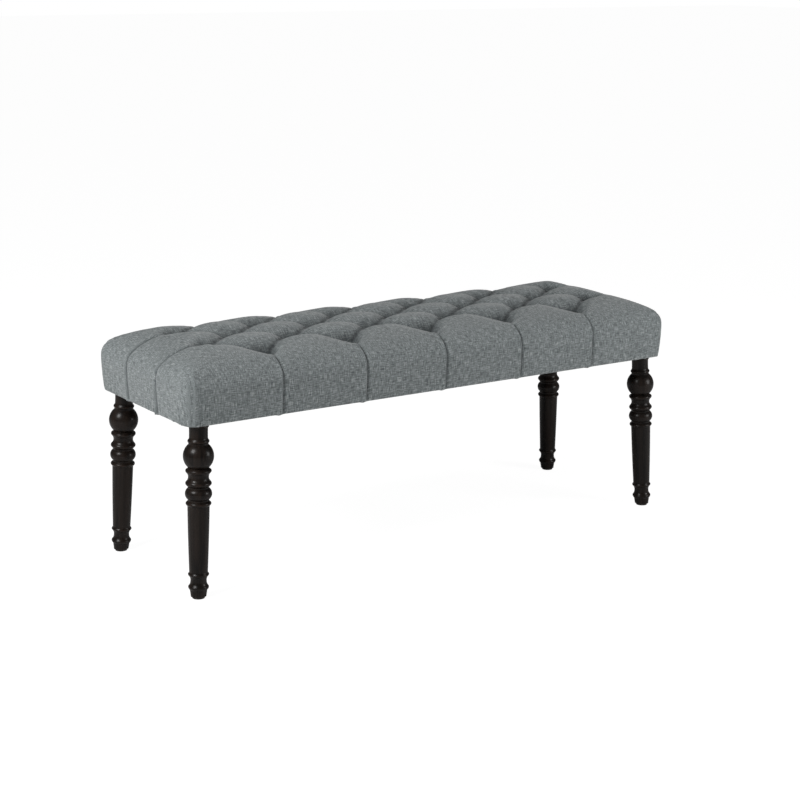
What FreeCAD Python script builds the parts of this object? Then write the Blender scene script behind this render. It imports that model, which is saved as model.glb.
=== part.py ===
"""Upholstered bench: a diamond tufted seat on a timber frame, with four splayed turned legs.

The origin is on the floor, under the middle of the seat. X runs along the bench, Y from front to back and
Z up. All lengths are in millimetres and all angles in degrees.
"""
import FreeCAD, Part
import math
import os

import Sketcher

doc = FreeCAD.newDocument("upholstered_bench")
sheet = doc.addObject("Spreadsheet::Sheet", "Sizes")

WHOLE_BENCH = {
    "bench_length": 1219.2,
    "bench_depth": 406.4,
    "bench_height": 495.3,
    "underside_height": 355.6,
}
SEAT_OUTLINE = {
    "corner_radius": 28.0,
    "side_draw_in": 5.5,
    "widest_rise": 56.0,
    "widest_band": 14.0,
    "shoulder_drop": 54.0,
    "shoulder_inset": 2.0,
    "shoulder_mid_drop": 42.0,
    "shoulder_mid_inset": 7.0,
    "crown_start_drop": 34.0,
    "crown_start_inset": 15.0,
}
TUFTING = {
    "end_field": 115.85,
    "side_field": 72.8,
    "pitch_count": 5,
    "tuft_depth": 39.0,
    "tuft_radius": 10.0,
    "fold_dip": 11.0,
    "fold_width": 3.0,
    "seam_dip": 28.0,
    "seam_depth": 3.0,
    "field_dip": 7.0,
    "end_crown_run": 85.0,
    "steep_angle": 58.0,
    "gentle_angle": 24.0,
    "steep_share": 0.68,
    "border_angle": 26.0,
    "least_flat": 2.0,
    "least_climb": 0.4,
    "edge_step": 3.0,
    "tuft_narrowing": 2.5,
    "puff_rounding": 4.0,
    "border_rounding": 3.0,
    "crown_rounding": 1.6,
    "pleat_climb": 3.0,
    "pleat_lap": 0.3,
}
COVER = {
    "cover_thickness": 1.5,
    "tuck_width": 25.0,
    "dust_cover_thickness": 0.8,
    "dust_cover_inset": 17.0,
    "dust_cover_clip": 95.0,
}
FRAME = {
    "frame_inset": 10.0,
    "rail_thickness": 18.0,
    "rail_height": 45.0,
    "frame_corner_radius": 15.0,
    "brace_thickness": 18.0,
    "brace_height": 30.0,
    "brace_column": 0.75,
    "deck_thickness": 12.0,
    "foam_edge": 12.0,
    "block_leg": 72.0,
    "block_tip": 22.0,
    "block_height": 25.0,
}
TUFTING_HARDWARE = {
    "button_radius": 8.5,
    "button_sides": 10,
    "button_height": 5.0,
    "tie_width": 4.0,
    "tie_thickness": 1.0,
    "tie_clearance": 0.5,
    "toggle_length": 16.0,
    "toggle_width": 8.0,
    "toggle_thickness": 3.0,
}
LEG_PLACE = {
    "leg_sides": 24,
    "leg_inset_length": 43.0,
    "leg_inset_depth": 37.8,
    "splay_length": 2.18,
    "splay_depth": 1.76,
}
LEG_TURNING_FROM_TOP = {
    "top_radius": 19.2,
    "top_bead_radius": 20.8,
    "top_bead_upper": 3.0,
    "top_bead_lower": 3.6,
    "neck_radius": 18.8,
    "neck_length": 21.0,
    "neck_ring_radius": 21.4,
    "neck_ring_upper": 5.6,
    "neck_ring_lower": 7.2,
    "ball_radius": 30.6,
    "ball_cut_angle": 48.0,
    "ball_side_angle": 23.0,
    "disc_radius": 25.3,
    "disc_edge": 3.6,
    "disc_length": 5.0,
    "cove_radius": 20.2,
    "cove_slope": 9.5,
    "ring_length": 5.5,
    "groove_radius": 21.0,
    "ring_edge": 6.5,
    "fat_bead_radius": 26.4,
    "fat_bead_edge": 7.0,
    "fat_bead_length": 9.0,
    "collar_radius": 24.8,
    "collar_edge": 5.5,
    "taper_top_radius": 22.0,
}
LEG_TURNING_FROM_FLOOR = {
    "foot_radius": 16.6,
    "foot_length": 13.0,
    "bulb_radius": 20.2,
    "bulb_edge": 4.0,
    "bulb_length": 3.5,
    "ankle_cove_radius": 16.0,
    "ankle_cove_slope": 11.5,
    "ankle_ring_radius": 20.2,
    "ankle_ring_length": 3.0,
    "ankle_ring_edge": 3.5,
    "taper_bottom_radius": 18.6,
}
LEG_HARDWARE = {
    "glide_radius": 12.5,
    "glide_thickness": 4.0,
    "bolt_radius": 4.0,
    "bolt_leg_length": 38.0,
    "bolt_block_length": 24.0,
    "insert_radius": 6.0,
    "insert_length": 20.0,
    "hole_clearance": 0.2,
    "cut_spare": 3.0,
}
SIZE_GROUPS = {
    "whole bench": WHOLE_BENCH,
    "seat outline": SEAT_OUTLINE,
    "tufting": TUFTING,
    "cover": COVER,
    "frame": FRAME,
    "tufting hardware": TUFTING_HARDWARE,
    "leg place": LEG_PLACE,
    "leg turning, from the top down": LEG_TURNING_FROM_TOP,
    "leg turning, from the floor up": LEG_TURNING_FROM_FLOOR,
    "leg hardware": LEG_HARDWARE,
}


def fill_sheet(groups):
    """Write every size to the sheet with its group, value and alias, one row each."""
    row = 0
    for title, sizes in groups.items():
        for alias, value in sizes.items():
            row += 1
            sheet.set(f"A{row}", title)
            sheet.set(f"B{row}", str(value))
            sheet.setAlias(f"B{row}", alias)


fill_sheet(SIZE_GROUPS)
doc.recompute()


def size(alias):
    """Value of a named size."""
    return float(sheet.get(alias))


def bind(item, **expressions):
    """Tie properties of an object to expressions of the sheet."""
    for path, expression in expressions.items():
        item.setExpression(path.replace("__", "."), expression)


def at(item, x, y, z):
    """Tie the place of an object to three expressions."""
    item.setExpression("Placement.Base.x", x)
    item.setExpression("Placement.Base.y", y)
    item.setExpression("Placement.Base.z", z)


def role_plane(body, role):
    """Origin plane of a body, found by its role."""
    return [item for item in body.Origin.OriginFeatures if item.Role == role][0]


def new_sketch(body, name, role="XY_Plane"):
    """Sketch on an origin plane of its own body."""
    sketch = body.newObject("Sketcher::SketchObject", name)
    sketch.AttachmentSupport = (role_plane(body, role), "")
    sketch.MapMode = "FlatFace"
    return sketch


def outline(sketch, corners):
    """Closed outline through corners given as pairs of expressions, each fixed from the sketch's origin."""
    guess = [FreeCAD.Vector(float(sheet_value(x)), float(sheet_value(y)), 0.0) for x, y in corners]
    count = len(guess)
    for index in range(count):
        sketch.addGeometry(Part.LineSegment(guess[index], guess[(index + 1) % count]), False)
    for index in range(count):
        sketch.addConstraint(Sketcher.Constraint("Coincident", index, 2, (index + 1) % count, 1))
    for index, (x, y) in enumerate(corners):
        for kind, expression, start in (("DistanceX", x, guess[index].x), ("DistanceY", y, guess[index].y)):
            if expression == "0":
                side = -2 if kind == "DistanceX" else -1
                sketch.addConstraint(Sketcher.Constraint("PointOnObject", index, 1, side))
                continue
            place = sketch.addConstraint(Sketcher.Constraint(kind, -1, 1, index, 1, start))
            sketch.setExpression(f"Constraints[{place}]", expression)


def sheet_value(expression):
    """Value of an expression of the sheet, used as a sketch's first guess."""
    if expression == "0":
        return 0.0
    probe = sheet.evalExpression(expression)
    return getattr(probe, "Value", probe)


# Outline of the seat, shared by the cover, the frame and the hardware
half_length = size("bench_length") / 2
half_depth = size("bench_depth") / 2
crown_height = size("bench_height")
underside = size("underside_height")
tuft_height = crown_height - size("tuft_depth")
pitch = (size("bench_length") - 2 * size("end_field")) / size("pitch_count")
row_step = (half_depth - size("side_field")) / 2
half_pitch = pitch / 2
last_column = half_length - size("end_field")
frame_bottom = underside + size("cover_thickness")
deck_bottom = frame_bottom + size("rail_height")

FRAME_X = "(Sizes.bench_length / 2 - Sizes.frame_inset)"
FRAME_Y = "(Sizes.bench_depth / 2 - Sizes.frame_inset)"
FRAME_Z = "(Sizes.underside_height + Sizes.cover_thickness)"
DECK_Z = f"({FRAME_Z} + Sizes.rail_height)"
FOAM_Z = f"({DECK_Z} + Sizes.deck_thickness)"
FOAM_TOP = "(Sizes.bench_height - Sizes.tuft_depth - Sizes.cover_thickness)"
PITCH = "((Sizes.bench_length - 2 * Sizes.end_field) / Sizes.pitch_count)"


def tuft_places():
    """Centres of the tufts: columns of three and of two, half a pitch apart."""
    places = []
    columns = int(size("pitch_count"))
    for step in range(-columns, columns + 1):
        x = step * half_pitch
        three = (step - columns) % 2 == 1
        rows = (-2, 0, 2) if three else (-1, 1)
        places += [(x, row * row_step) for row in rows]
    return places


# Seat cover: a ruled loft along X through sections made of straight lines
def mix(start, end, share):
    """Value part of the way from start to end."""
    return start + (end - start) * share


def rise_run(climb, lower_angle, upper_angle):
    """Horizontal run of a flank in two slopes that climbs the given height."""
    steep = climb * size("steep_share") / math.tan(math.radians(lower_angle))
    gentle = climb * (1 - size("steep_share")) / math.tan(math.radians(upper_angle))
    return steep + gentle


def puff(start, end, target, start_angle, end_angle):
    """Points between two low points, up one flank, across the crown and down the other."""
    gentle = size("gentle_angle")
    start_unit = rise_run(1.0, start_angle, gentle)
    end_unit = rise_run(1.0, end_angle, gentle)
    width = end[0] - start[0]
    room = max(width - size("least_flat"), width / 2)
    reach = (room + start[1] * start_unit + end[1] * end_unit) / (start_unit + end_unit)
    floor = max(start[1], end[1]) + size("least_climb")
    top = max(min(target, reach), floor)
    share = size("steep_share")
    up, down = top - start[1], top - end[1]
    scale = min(1.0, room / (up * start_unit + down * end_unit))
    start_steep = scale * up * share / math.tan(math.radians(start_angle))
    end_steep = scale * down * share / math.tan(math.radians(end_angle))
    return [
        (start[0] + start_steep, start[1] + up * share),
        (start[0] + scale * up * start_unit, top),
        (end[0] - scale * down * end_unit, top),
        (end[0] - end_steep, end[1] + down * share),
    ]


def half_width(inset, draw):
    """Half depth of the seat outline, drawn in by draw, at a distance in from the end."""
    radius = size("corner_radius")
    along = max(0.0, inset - draw)
    if along >= radius:
        return half_depth - draw
    return half_depth - draw - radius + math.sqrt(radius ** 2 - (radius - along) ** 2)


def end_levels(inset):
    """Lowest and highest level of the section at a distance in from the end."""
    widest = underside + size("widest_rise")
    low = widest - (widest - underside) * min(1.0, inset / size("side_draw_in")) ** 0.5
    marks = [
        (0.0, widest + size("widest_band")),
        (size("shoulder_inset"), crown_height - size("shoulder_drop")),
        (size("shoulder_mid_inset"), crown_height - size("shoulder_mid_drop")),
        (size("crown_start_inset"), crown_height - size("crown_start_drop")),
    ]
    high = marks[-1][1]
    for (near, level), (far, next_level) in zip(marks, marks[1:]):
        if near <= inset <= far:
            high = mix(level, next_level, (inset - near) / (far - near))
    return low, high


def side_points(inset, low, high, dent):
    """Front side of the section, from its lower edge up to the edge of the crown."""
    levels = [
        (low, size("side_draw_in")),
        (underside + size("widest_rise"), 0.0),
        (crown_height - size("shoulder_drop"), size("shoulder_inset")),
        (crown_height - size("shoulder_mid_drop"), size("shoulder_mid_inset")),
        (crown_height - size("crown_start_drop"), size("crown_start_inset")),
    ]
    points = []
    for level, draw in levels:
        edge = -half_width(inset, min(draw, inset)) + dent
        point = (edge, min(max(level, low), high))
        if points and point == points[-1]:
            if len(points) == 1:
                points[0] = (edge + size("edge_step"), low)
            else:
                point = (points[-1][0] + size("edge_step"), high)
        elif points and point[1] == points[-1][1]:
            point = (points[-1][0] + size("edge_step"), high)
        points.append(point)
    return points


def tuft_share(along):
    """0 beside a column of three tufts, 1 beside a column of two, even steps between."""
    tuft_radius = size("tuft_radius")
    return min(1.0, max(0.0, (along - tuft_radius) / (half_pitch - 2 * tuft_radius)))


def column_distance(x):
    """Distance along X from the nearest column of three tufts."""
    steps = abs(x) / pitch
    return abs(x - math.copysign(round(steps), x) * pitch)


def crown_levels(x, inset, along):
    """Heights of the crown and of the folds, and the folds' half width, at x."""
    tuft_radius = size("tuft_radius")
    crown_start = crown_height - size("crown_start_drop")
    end_share = min(1.0, max(0.0, (inset - size("crown_start_inset")) / size("end_crown_run")))
    crown = mix(crown_start, crown_height, 1 - (1 - end_share) ** size("crown_rounding"))
    if abs(x) > last_column:
        away = max(0.0, abs(x) - last_column - tuft_radius) / (size("end_field") - tuft_radius)
        climb = min(1.0, size("pleat_climb") * away)
        return crown, mix(tuft_height, crown_start, climb), mix(tuft_radius, size("fold_width") / 2, climb)
    closeness = abs(2 * tuft_share(along) - 1) ** size("tuft_narrowing")
    fold = mix(crown_height - size("fold_dip"), tuft_height, closeness)
    return crown, fold, mix(size("fold_width") / 2, tuft_radius, closeness)


def section_points(x):
    """Corners of the seat section at x, from the front lower edge over the top to the back lower edge."""
    inset = half_length - abs(x)
    low, high = end_levels(inset)
    beyond = abs(x) > last_column
    along = half_pitch if beyond else column_distance(x)
    share = 1.0 if beyond else tuft_share(along)
    crown, fold, floor = crown_levels(x, inset, along)
    seam = 0.0 if beyond else max(0.0, 1 - along / size("tuft_radius"))
    front = side_points(inset, low, high, size("seam_depth") * seam)
    outer = -(2 - share) * row_step
    outer_start = outer - floor
    outer_end = outer + floor * mix(1.0, -size("pleat_lap"), share)
    inner = -share * row_step + floor * mix(-1.0, 1.0, share)
    field = crown_height - size("field_dip")
    field_share = 1 - (1 - along / half_pitch) ** size("border_rounding")
    border = min(crown, mix(crown_height - size("seam_dip"), field, field_share))
    steep = size("steep_angle")
    border_points = puff(front[-1], (outer_start, fold), border, size("border_angle"), steep)
    row_points = puff((outer_end, fold), (inner, fold), row_peak(share, fold, crown), steep, steep)
    middle = puff((inner, fold), (-inner, fold), row_peak(1 - share, fold, crown), steep, steep)
    half = border_points + [(outer_start, fold), (outer_end, fold)] + row_points + [(inner, fold)]
    if inset <= size("crown_start_inset"):
        narrowing = front[-1][0] / -half_width(size("crown_start_inset"), size("crown_start_inset"))
        half = [(y * narrowing, high) for y, z in half]
        middle = [(y * narrowing, high) for y, z in middle]
    half = front + half
    return half + middle + [(-y, z) for y, z in reversed(half)]


def row_peak(share, fold, crown):
    """Height that a puff aims for, from its middle at share 0 to its corner at share 1."""
    return max(fold, mix(crown, fold, share ** size("puff_rounding")))


def station_places():
    """Distances along X of the sections, on the positive side."""
    tuft_radius = size("tuft_radius")
    places = []
    for step in range(int(size("pitch_count"))):
        start = step * half_pitch
        places += [start, start + tuft_radius, start + half_pitch / 2, start + half_pitch - tuft_radius]
    places += [last_column, last_column + tuft_radius]
    field = size("end_field") - tuft_radius - size("crown_start_inset")
    places += [last_column + tuft_radius + field * share for share in FIELD_SHARES]
    for inset in (size("crown_start_inset"), size("shoulder_mid_inset"), size("shoulder_inset"), 0.0):
        places.append(half_length - inset)
    return places


FLATNESS = 0.0005
# Places of the sections between the last tufts and the end of the crown
FIELD_SHARES = (0.25, 0.55, 0.85)


def flat_strip(start, end):
    """Flat faces between an edge of one section and the same edge of the next."""
    corners = [start[0], start[1], end[1], end[0]]
    normal = (corners[1] - corners[0]).cross(corners[3] - corners[0])
    off_plane = abs(normal.normalize().dot(corners[2] - corners[0]))
    if off_plane < FLATNESS:
        return [Part.Face(Part.makePolygon(corners + corners[:1]))]
    halves = (corners[:3], [corners[0], corners[2], corners[3]])
    return [Part.Face(Part.makePolygon(half + half[:1])) for half in halves]


def closed_solid(faces):
    """Solid enclosed by faces that meet edge to edge."""
    shell = Part.makeShell(faces)
    shell.sewShape()
    solid = Part.makeSolid(shell)
    if solid.Volume < 0:
        solid.reverse()
    return solid


def seat_form():
    """Solid of the whole upholstered seat: a ruled loft whose strips are flat faces."""
    places = station_places()
    sections = []
    for x in sorted({-place for place in places} | set(places)):
        sections.append([FreeCAD.Vector(x, y, z) for y, z in section_points(x)])
    faces = [Part.Face(Part.makePolygon(end + end[:1])) for end in (sections[0], sections[-1])]
    for near, far in zip(sections, sections[1:]):
        for index in range(len(near)):
            after = (index + 1) % len(near)
            faces += flat_strip((near[index], near[after]), (far[index], far[after]))
    return closed_solid(faces)


def sized_box(name, length, width, height, x, y, z):
    """Box with its sizes and its lowest corner tied to expressions."""
    box = doc.addObject("Part::Box", name)
    bind(box, Length=length, Width=width, Height=height)
    at(box, x, y, z)
    return box


def sized_cylinder(name, radius, height):
    """Cylinder along Z from the origin, tied to expressions."""
    cylinder = doc.addObject("Part::Cylinder", name)
    bind(cylinder, Radius=radius, Height=height)
    return cylinder


def cut(name, base, tool):
    """Base less tool."""
    result = doc.addObject("Part::Cut", name)
    result.Base = base
    result.Tool = tool
    return result


def group(name, items):
    """Separate solids kept under one name."""
    result = doc.addObject("Part::Compound", name)
    result.Links = items
    return result


def upright_edges(feature):
    """Names of the upright edges of a shape."""
    names = []
    for index, edge in enumerate(feature.Shape.Edges, start=1):
        box = edge.BoundBox
        if box.ZLength > max(box.XLength, box.YLength):
            names.append(f"Edge{index}")
    return names


def top_edges(feature):
    """Names of the edges that lie in the highest plane of a shape."""
    highest = feature.Shape.BoundBox.ZMax
    names = []
    for index, edge in enumerate(feature.Shape.Edges, start=1):
        if edge.BoundBox.ZMin > highest - FLATNESS:
            names.append(f"Edge{index}")
    return names


def dressed(body, kind, edges, prop, alias):
    """Fillet or chamfer some edges of a body's last feature."""
    feature = body.Tip
    dressing = body.newObject(f"PartDesign::{kind}", f"{body.Name}_{alias}")
    dressing.Base = (feature, edges)
    dressing.setExpression(prop, f"Sizes.{alias}")
    doc.recompute()
    return dressing


def frame_slab(name, low, high):
    """Body with the frame's rounded outline between two heights."""
    body = doc.addObject("PartDesign::Body", name)
    sketch = new_sketch(body, f"{name}_outline")
    corners = [(f"-{FRAME_X}", f"-{FRAME_Y}"), (FRAME_X, f"-{FRAME_Y}"), (FRAME_X, FRAME_Y), (f"-{FRAME_X}", FRAME_Y)]
    outline(sketch, corners)
    pad = body.newObject("PartDesign::Pad", f"{name}_pad")
    pad.Profile = sketch
    pad.setExpression("Length", f"{high} - {low}")
    body.setExpression("Placement.Base.z", low)
    doc.recompute()
    dressed(body, "Fillet", upright_edges(pad), "Radius", "frame_corner_radius")
    return body


# Ties, their slots and what they hold
ties, slots, buttons, toggles = [], [], [], []
for number, (tuft_x, tuft_y) in enumerate(tuft_places(), start=1):
    place = FreeCAD.Vector(tuft_x, tuft_y, 0)
    tie = doc.addObject("Part::Box", f"tie_{number}")
    bind(tie, Length="Sizes.tie_width", Width="Sizes.tie_thickness")
    bind(tie, Height=f"{FOAM_TOP} + Sizes.cover_thickness - {DECK_Z} + Sizes.toggle_thickness")
    low = deck_bottom - size("toggle_thickness")
    corner = FreeCAD.Vector(-size("tie_width") / 2, -size("tie_thickness") / 2, low)
    tie.Placement.Base = place + corner
    ties.append(tie)
    slot = doc.addObject("Part::Box", f"slot_{number}")
    bind(slot, Length="Sizes.tie_width + 2 * Sizes.tie_clearance")
    bind(slot, Width="Sizes.tie_thickness + 2 * Sizes.tie_clearance")
    bind(slot, Height=f"{FOAM_TOP} - {DECK_Z} + 2 * Sizes.cut_spare + Sizes.toggle_thickness")
    gap = size("tie_clearance")
    spare = FreeCAD.Vector(-gap, -gap, -size("cut_spare"))
    slot.Placement.Base = place + corner + spare
    slots.append(slot)
    button = doc.addObject("Part::Prism", f"button_{number}")
    button.Polygon = int(size("button_sides"))
    bind(button, Circumradius="Sizes.button_radius", Height="Sizes.button_height")
    button.Placement.Base = place + FreeCAD.Vector(0, 0, tuft_height)
    buttons.append(button)
    toggle = doc.addObject("Part::Box", f"toggle_blank_{number}")
    bind(toggle, Length="Sizes.toggle_length", Width="Sizes.toggle_width", Height="Sizes.toggle_thickness")
    toggle.Placement.Base = place + FreeCAD.Vector(-size("toggle_length") / 2, -size("toggle_width") / 2, low)
    toggles.append(toggle)
tie_slots = group("tie_slots", slots)
tuft_ties = group("tuft_ties", ties)
tuft_buttons = group("tuft_buttons", buttons)
toggle_blanks = group("toggle_blanks", toggles)
tie_toggles = cut("tie_toggles", toggle_blanks, tie_slots)

# Frame: two long rails, two end rails between them and two braces under the deck
RAIL_LENGTH = f"2 * {FRAME_X}"
INNER_DEPTH = f"(2 * {FRAME_Y} - 2 * Sizes.rail_thickness)"
frame_outline = frame_slab("frame_outline", FRAME_Z, DECK_Z)


def long_rail(name, y):
    """Long rail with its outer ends rounded to the frame's outline."""
    blank = sized_box(f"{name}_blank", RAIL_LENGTH, "Sizes.rail_thickness", "Sizes.rail_height",
                      f"-{FRAME_X}", y, FRAME_Z)
    rail = doc.addObject("Part::Common", name)
    rail.Base = blank
    rail.Tool = frame_outline
    return rail


front_rail = long_rail("front_rail", f"-{FRAME_Y}")
back_rail = long_rail("back_rail", f"{FRAME_Y} - Sizes.rail_thickness")
end_rails = []
for name, x in (("left_end_rail", f"-{FRAME_X}"), ("right_end_rail", f"{FRAME_X} - Sizes.rail_thickness")):
    end_rails.append(sized_box(name, "Sizes.rail_thickness", INNER_DEPTH, "Sizes.rail_height",
                               x, f"-{INNER_DEPTH} / 2", FRAME_Z))
braces = []
for name, sign in (("left_brace", "-"), ("right_brace", "")):
    centre = f"{sign}Sizes.brace_column * {PITCH}"
    braces.append(sized_box(name, "Sizes.brace_thickness", INNER_DEPTH, "Sizes.brace_height",
                            f"{centre} - Sizes.brace_thickness / 2", f"-{INNER_DEPTH} / 2",
                            f"{DECK_Z} - Sizes.brace_height"))

# Legs: each turned about its own axis, splayed outwards, and cut level at both ends
LEG_TOP = "Sizes.underside_height"
LEG_SPAN = f"({LEG_TOP} - Sizes.glide_thickness)"
leg_span = underside - size("glide_thickness")
spread_length = math.tan(math.radians(size("splay_length")))
spread_depth = math.tan(math.radians(size("splay_depth")))
LEG_LENGTH = f"({LEG_SPAN} * sqrt(1 + tan(Sizes.splay_length * 1 deg)^2 + tan(Sizes.splay_depth * 1 deg)^2))"
FROM_TOP = [
    ("top_radius", "-Sizes.cut_spare"),
    ("top_radius", "2 * Sizes.cut_spare"),
    ("top_bead_radius", "Sizes.top_bead_upper"),
    ("neck_radius", "Sizes.top_bead_lower"),
    ("neck_radius", "Sizes.neck_length"),
    ("neck_ring_radius", "Sizes.neck_ring_upper"),
    ("ball_cut", "Sizes.neck_ring_lower"),
    ("ball_side", "ball_cut_to_side"),
    ("ball_radius", "ball_side_to_middle"),
    ("ball_side", "ball_side_to_middle"),
    ("ball_cut", "ball_cut_to_side"),
    ("disc_radius", "Sizes.disc_edge"),
    ("disc_radius", "Sizes.disc_length"),
    ("cove_radius", "Sizes.cove_slope"),
    ("disc_radius", "Sizes.cove_slope"),
    ("disc_radius", "Sizes.ring_length"),
    ("groove_radius", "Sizes.ring_edge"),
    ("fat_bead_radius", "Sizes.fat_bead_edge"),
    ("fat_bead_radius", "Sizes.fat_bead_length"),
    ("groove_radius", "Sizes.fat_bead_edge"),
    ("collar_radius", "Sizes.collar_edge"),
    ("taper_top_radius", "Sizes.collar_edge"),
]
FROM_FLOOR = [
    ("foot_radius", "-Sizes.cut_spare"),
    ("foot_radius", "Sizes.cut_spare + Sizes.foot_length"),
    ("bulb_radius", "Sizes.bulb_edge"),
    ("bulb_radius", "Sizes.bulb_length"),
    ("ankle_cove_radius", "Sizes.ankle_cove_slope"),
    ("ankle_ring_radius", "Sizes.ankle_cove_slope"),
    ("ankle_ring_radius", "Sizes.ankle_ring_length"),
    ("taper_bottom_radius", "Sizes.ankle_ring_edge"),
]


def ball_point(angle, function):
    """Distance of a point of the ball from its axis or from its middle."""
    return f"Sizes.ball_radius * {function}(Sizes.ball_{angle}_angle * 1 deg)"


BALL = {
    "ball_cut": ball_point("cut", "cos"),
    "ball_side": ball_point("side", "cos"),
    "ball_cut_to_side": f"({ball_point('cut', 'sin')} - {ball_point('side', 'sin')})",
    "ball_side_to_middle": f"({ball_point('side', 'sin')})",
}


def leg_rings():
    """Radius and height along the axis of each ring of the turning, from the top down."""
    rings = []
    height = 0.0
    for radius, length in FROM_TOP:
        height -= sheet_value(BALL.get(length, length))
        rings.append((sheet_value(BALL.get(radius, f"Sizes.{radius}")), height))
    lower = []
    height = -sheet_value(LEG_LENGTH)
    for radius, length in FROM_FLOOR:
        height += sheet_value(length)
        lower.append((sheet_value(f"Sizes.{radius}"), height))
    return rings + lower[::-1]


def levelled(end, inner, level):
    """Point where the line from inner through end meets a level plane."""
    return inner + (end - inner) * ((level - inner.z) / (end.z - inner.z))


def leg_form(axis, turning):
    """Solid of a leg on its axis: rings of even sides, with both ends cut level."""
    sides = int(size("leg_sides"))
    rings = []
    for radius, height in turning:
        ring = []
        for side in range(sides):
            turn = 2 * math.pi * side / sides
            local = FreeCAD.Vector(radius * math.cos(turn), radius * math.sin(turn), height)
            ring.append(axis.multVec(local))
        rings.append(ring)
    rings[0] = [levelled(end, inner, underside) for end, inner in zip(rings[0], rings[1])]
    rings[-1] = [levelled(end, inner, size("glide_thickness")) for end, inner in zip(rings[-1], rings[-2])]
    faces = [Part.Face(Part.makePolygon(ring + ring[:1])) for ring in (rings[0], rings[-1])]
    for near, far in zip(rings, rings[1:]):
        for side in range(sides):
            after = (side + 1) % sides
            faces += flat_strip((near[side], near[after]), (far[side], far[after]))
    return closed_solid(faces)


def leg_corners():
    """Names of the four corners with the signs of their X and Y."""
    return [("front_left", -1, -1), ("front_right", 1, -1), ("back_left", -1, 1), ("back_right", 1, 1)]


def leg_axis(x_sign, y_sign):
    """Placement with its Z along the leg's axis, upwards, and its origin at the leg's top centre."""
    x = x_sign * (half_length - size("leg_inset_length"))
    y = y_sign * (half_depth - size("leg_inset_depth"))
    upward = FreeCAD.Vector(-x_sign * spread_length, -y_sign * spread_depth, 1)
    turn = FreeCAD.Rotation(FreeCAD.Vector(0, 0, 1), upward)
    return FreeCAD.Placement(FreeCAD.Vector(x, y, underside), turn)


def along_axis(item, axis, rise):
    """Stand an object on the leg's axis, a rise above the leg's top centre."""
    item.Placement = axis.multiply(FreeCAD.Placement(FreeCAD.Vector(0, 0, rise), FreeCAD.Rotation()))


block_rise = size("cover_thickness")
legs, bolts, inserts, glides, blocks = [], [], [], [], []
turning = leg_rings()
for corner, x_sign, y_sign in leg_corners():
    axis = leg_axis(x_sign, y_sign)
    blank = doc.addObject("Part::Feature", f"leg_form_{corner}")
    blank.Shape = leg_form(axis, turning)
    bore = sized_cylinder(f"bolt_bore_{corner}", "Sizes.bolt_radius", "2 * Sizes.bolt_leg_length")
    along_axis(bore, axis, -size("bolt_leg_length"))
    legs.append(cut(f"{corner}_leg", blank, bore))

    bolt = sized_cylinder(f"bolt_{corner}", "Sizes.bolt_radius", "Sizes.bolt_leg_length + Sizes.bolt_block_length")
    along_axis(bolt, axis, -size("bolt_leg_length"))
    bolts.append(bolt)
    hole = sized_cylinder(f"bolt_hole_{corner}", "Sizes.bolt_radius + Sizes.hole_clearance",
                          "2 * Sizes.bolt_block_length")
    along_axis(hole, axis, -size("bolt_block_length"))

    sleeve = sized_cylinder(f"insert_blank_{corner}", "Sizes.insert_radius", "Sizes.insert_length")
    along_axis(sleeve, axis, block_rise + size("hole_clearance"))
    inserts.append(cut(f"insert_{corner}", sleeve, hole))
    socket = sized_cylinder(f"insert_socket_{corner}", "Sizes.insert_radius",
                            "Sizes.block_height + 2 * Sizes.cut_spare")
    along_axis(socket, axis, -size("cut_spare"))

    block_body = doc.addObject("PartDesign::Body", f"block_blank_{corner}")
    block_sketch = new_sketch(block_body, f"block_outline_{corner}")
    inner_x = f"({FRAME_X} - Sizes.rail_thickness)"
    inner_y = f"({FRAME_Y} - Sizes.rail_thickness)"
    sign_x = "" if x_sign > 0 else "-"
    sign_y = "" if y_sign > 0 else "-"
    outline(block_sketch, [
        (f"{sign_x}{inner_x}", f"{sign_y}{inner_y}"),
        (f"{sign_x}({inner_x} - Sizes.block_leg)", f"{sign_y}{inner_y}"),
        (f"{sign_x}({inner_x} - Sizes.block_leg)", f"{sign_y}({inner_y} - Sizes.block_tip)"),
        (f"{sign_x}({inner_x} - Sizes.block_tip)", f"{sign_y}({inner_y} - Sizes.block_leg)"),
        (f"{sign_x}{inner_x}", f"{sign_y}({inner_y} - Sizes.block_leg)"),
    ])
    block_pad = block_body.newObject("PartDesign::Pad", f"block_pad_{corner}")
    block_pad.Profile = block_sketch
    block_pad.setExpression("Length", "Sizes.block_height")
    block_body.setExpression("Placement.Base.z", FRAME_Z)
    blocks.append(cut(f"{corner}_block", block_body, socket))

    foot = axis.multVec(FreeCAD.Vector(0, 0, -leg_span / axis.Rotation.multVec(FreeCAD.Vector(0, 0, 1)).z))
    glide = sized_cylinder(f"glide_{corner}", "Sizes.glide_radius", "Sizes.glide_thickness")
    glide.Placement.Base = FreeCAD.Vector(foot.x, foot.y, 0)
    glides.append(glide)
hanger_bolts = group("hanger_bolts", bolts)
leg_inserts = group("leg_inserts", inserts)
foot_glides = group("foot_glides", glides)

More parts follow.
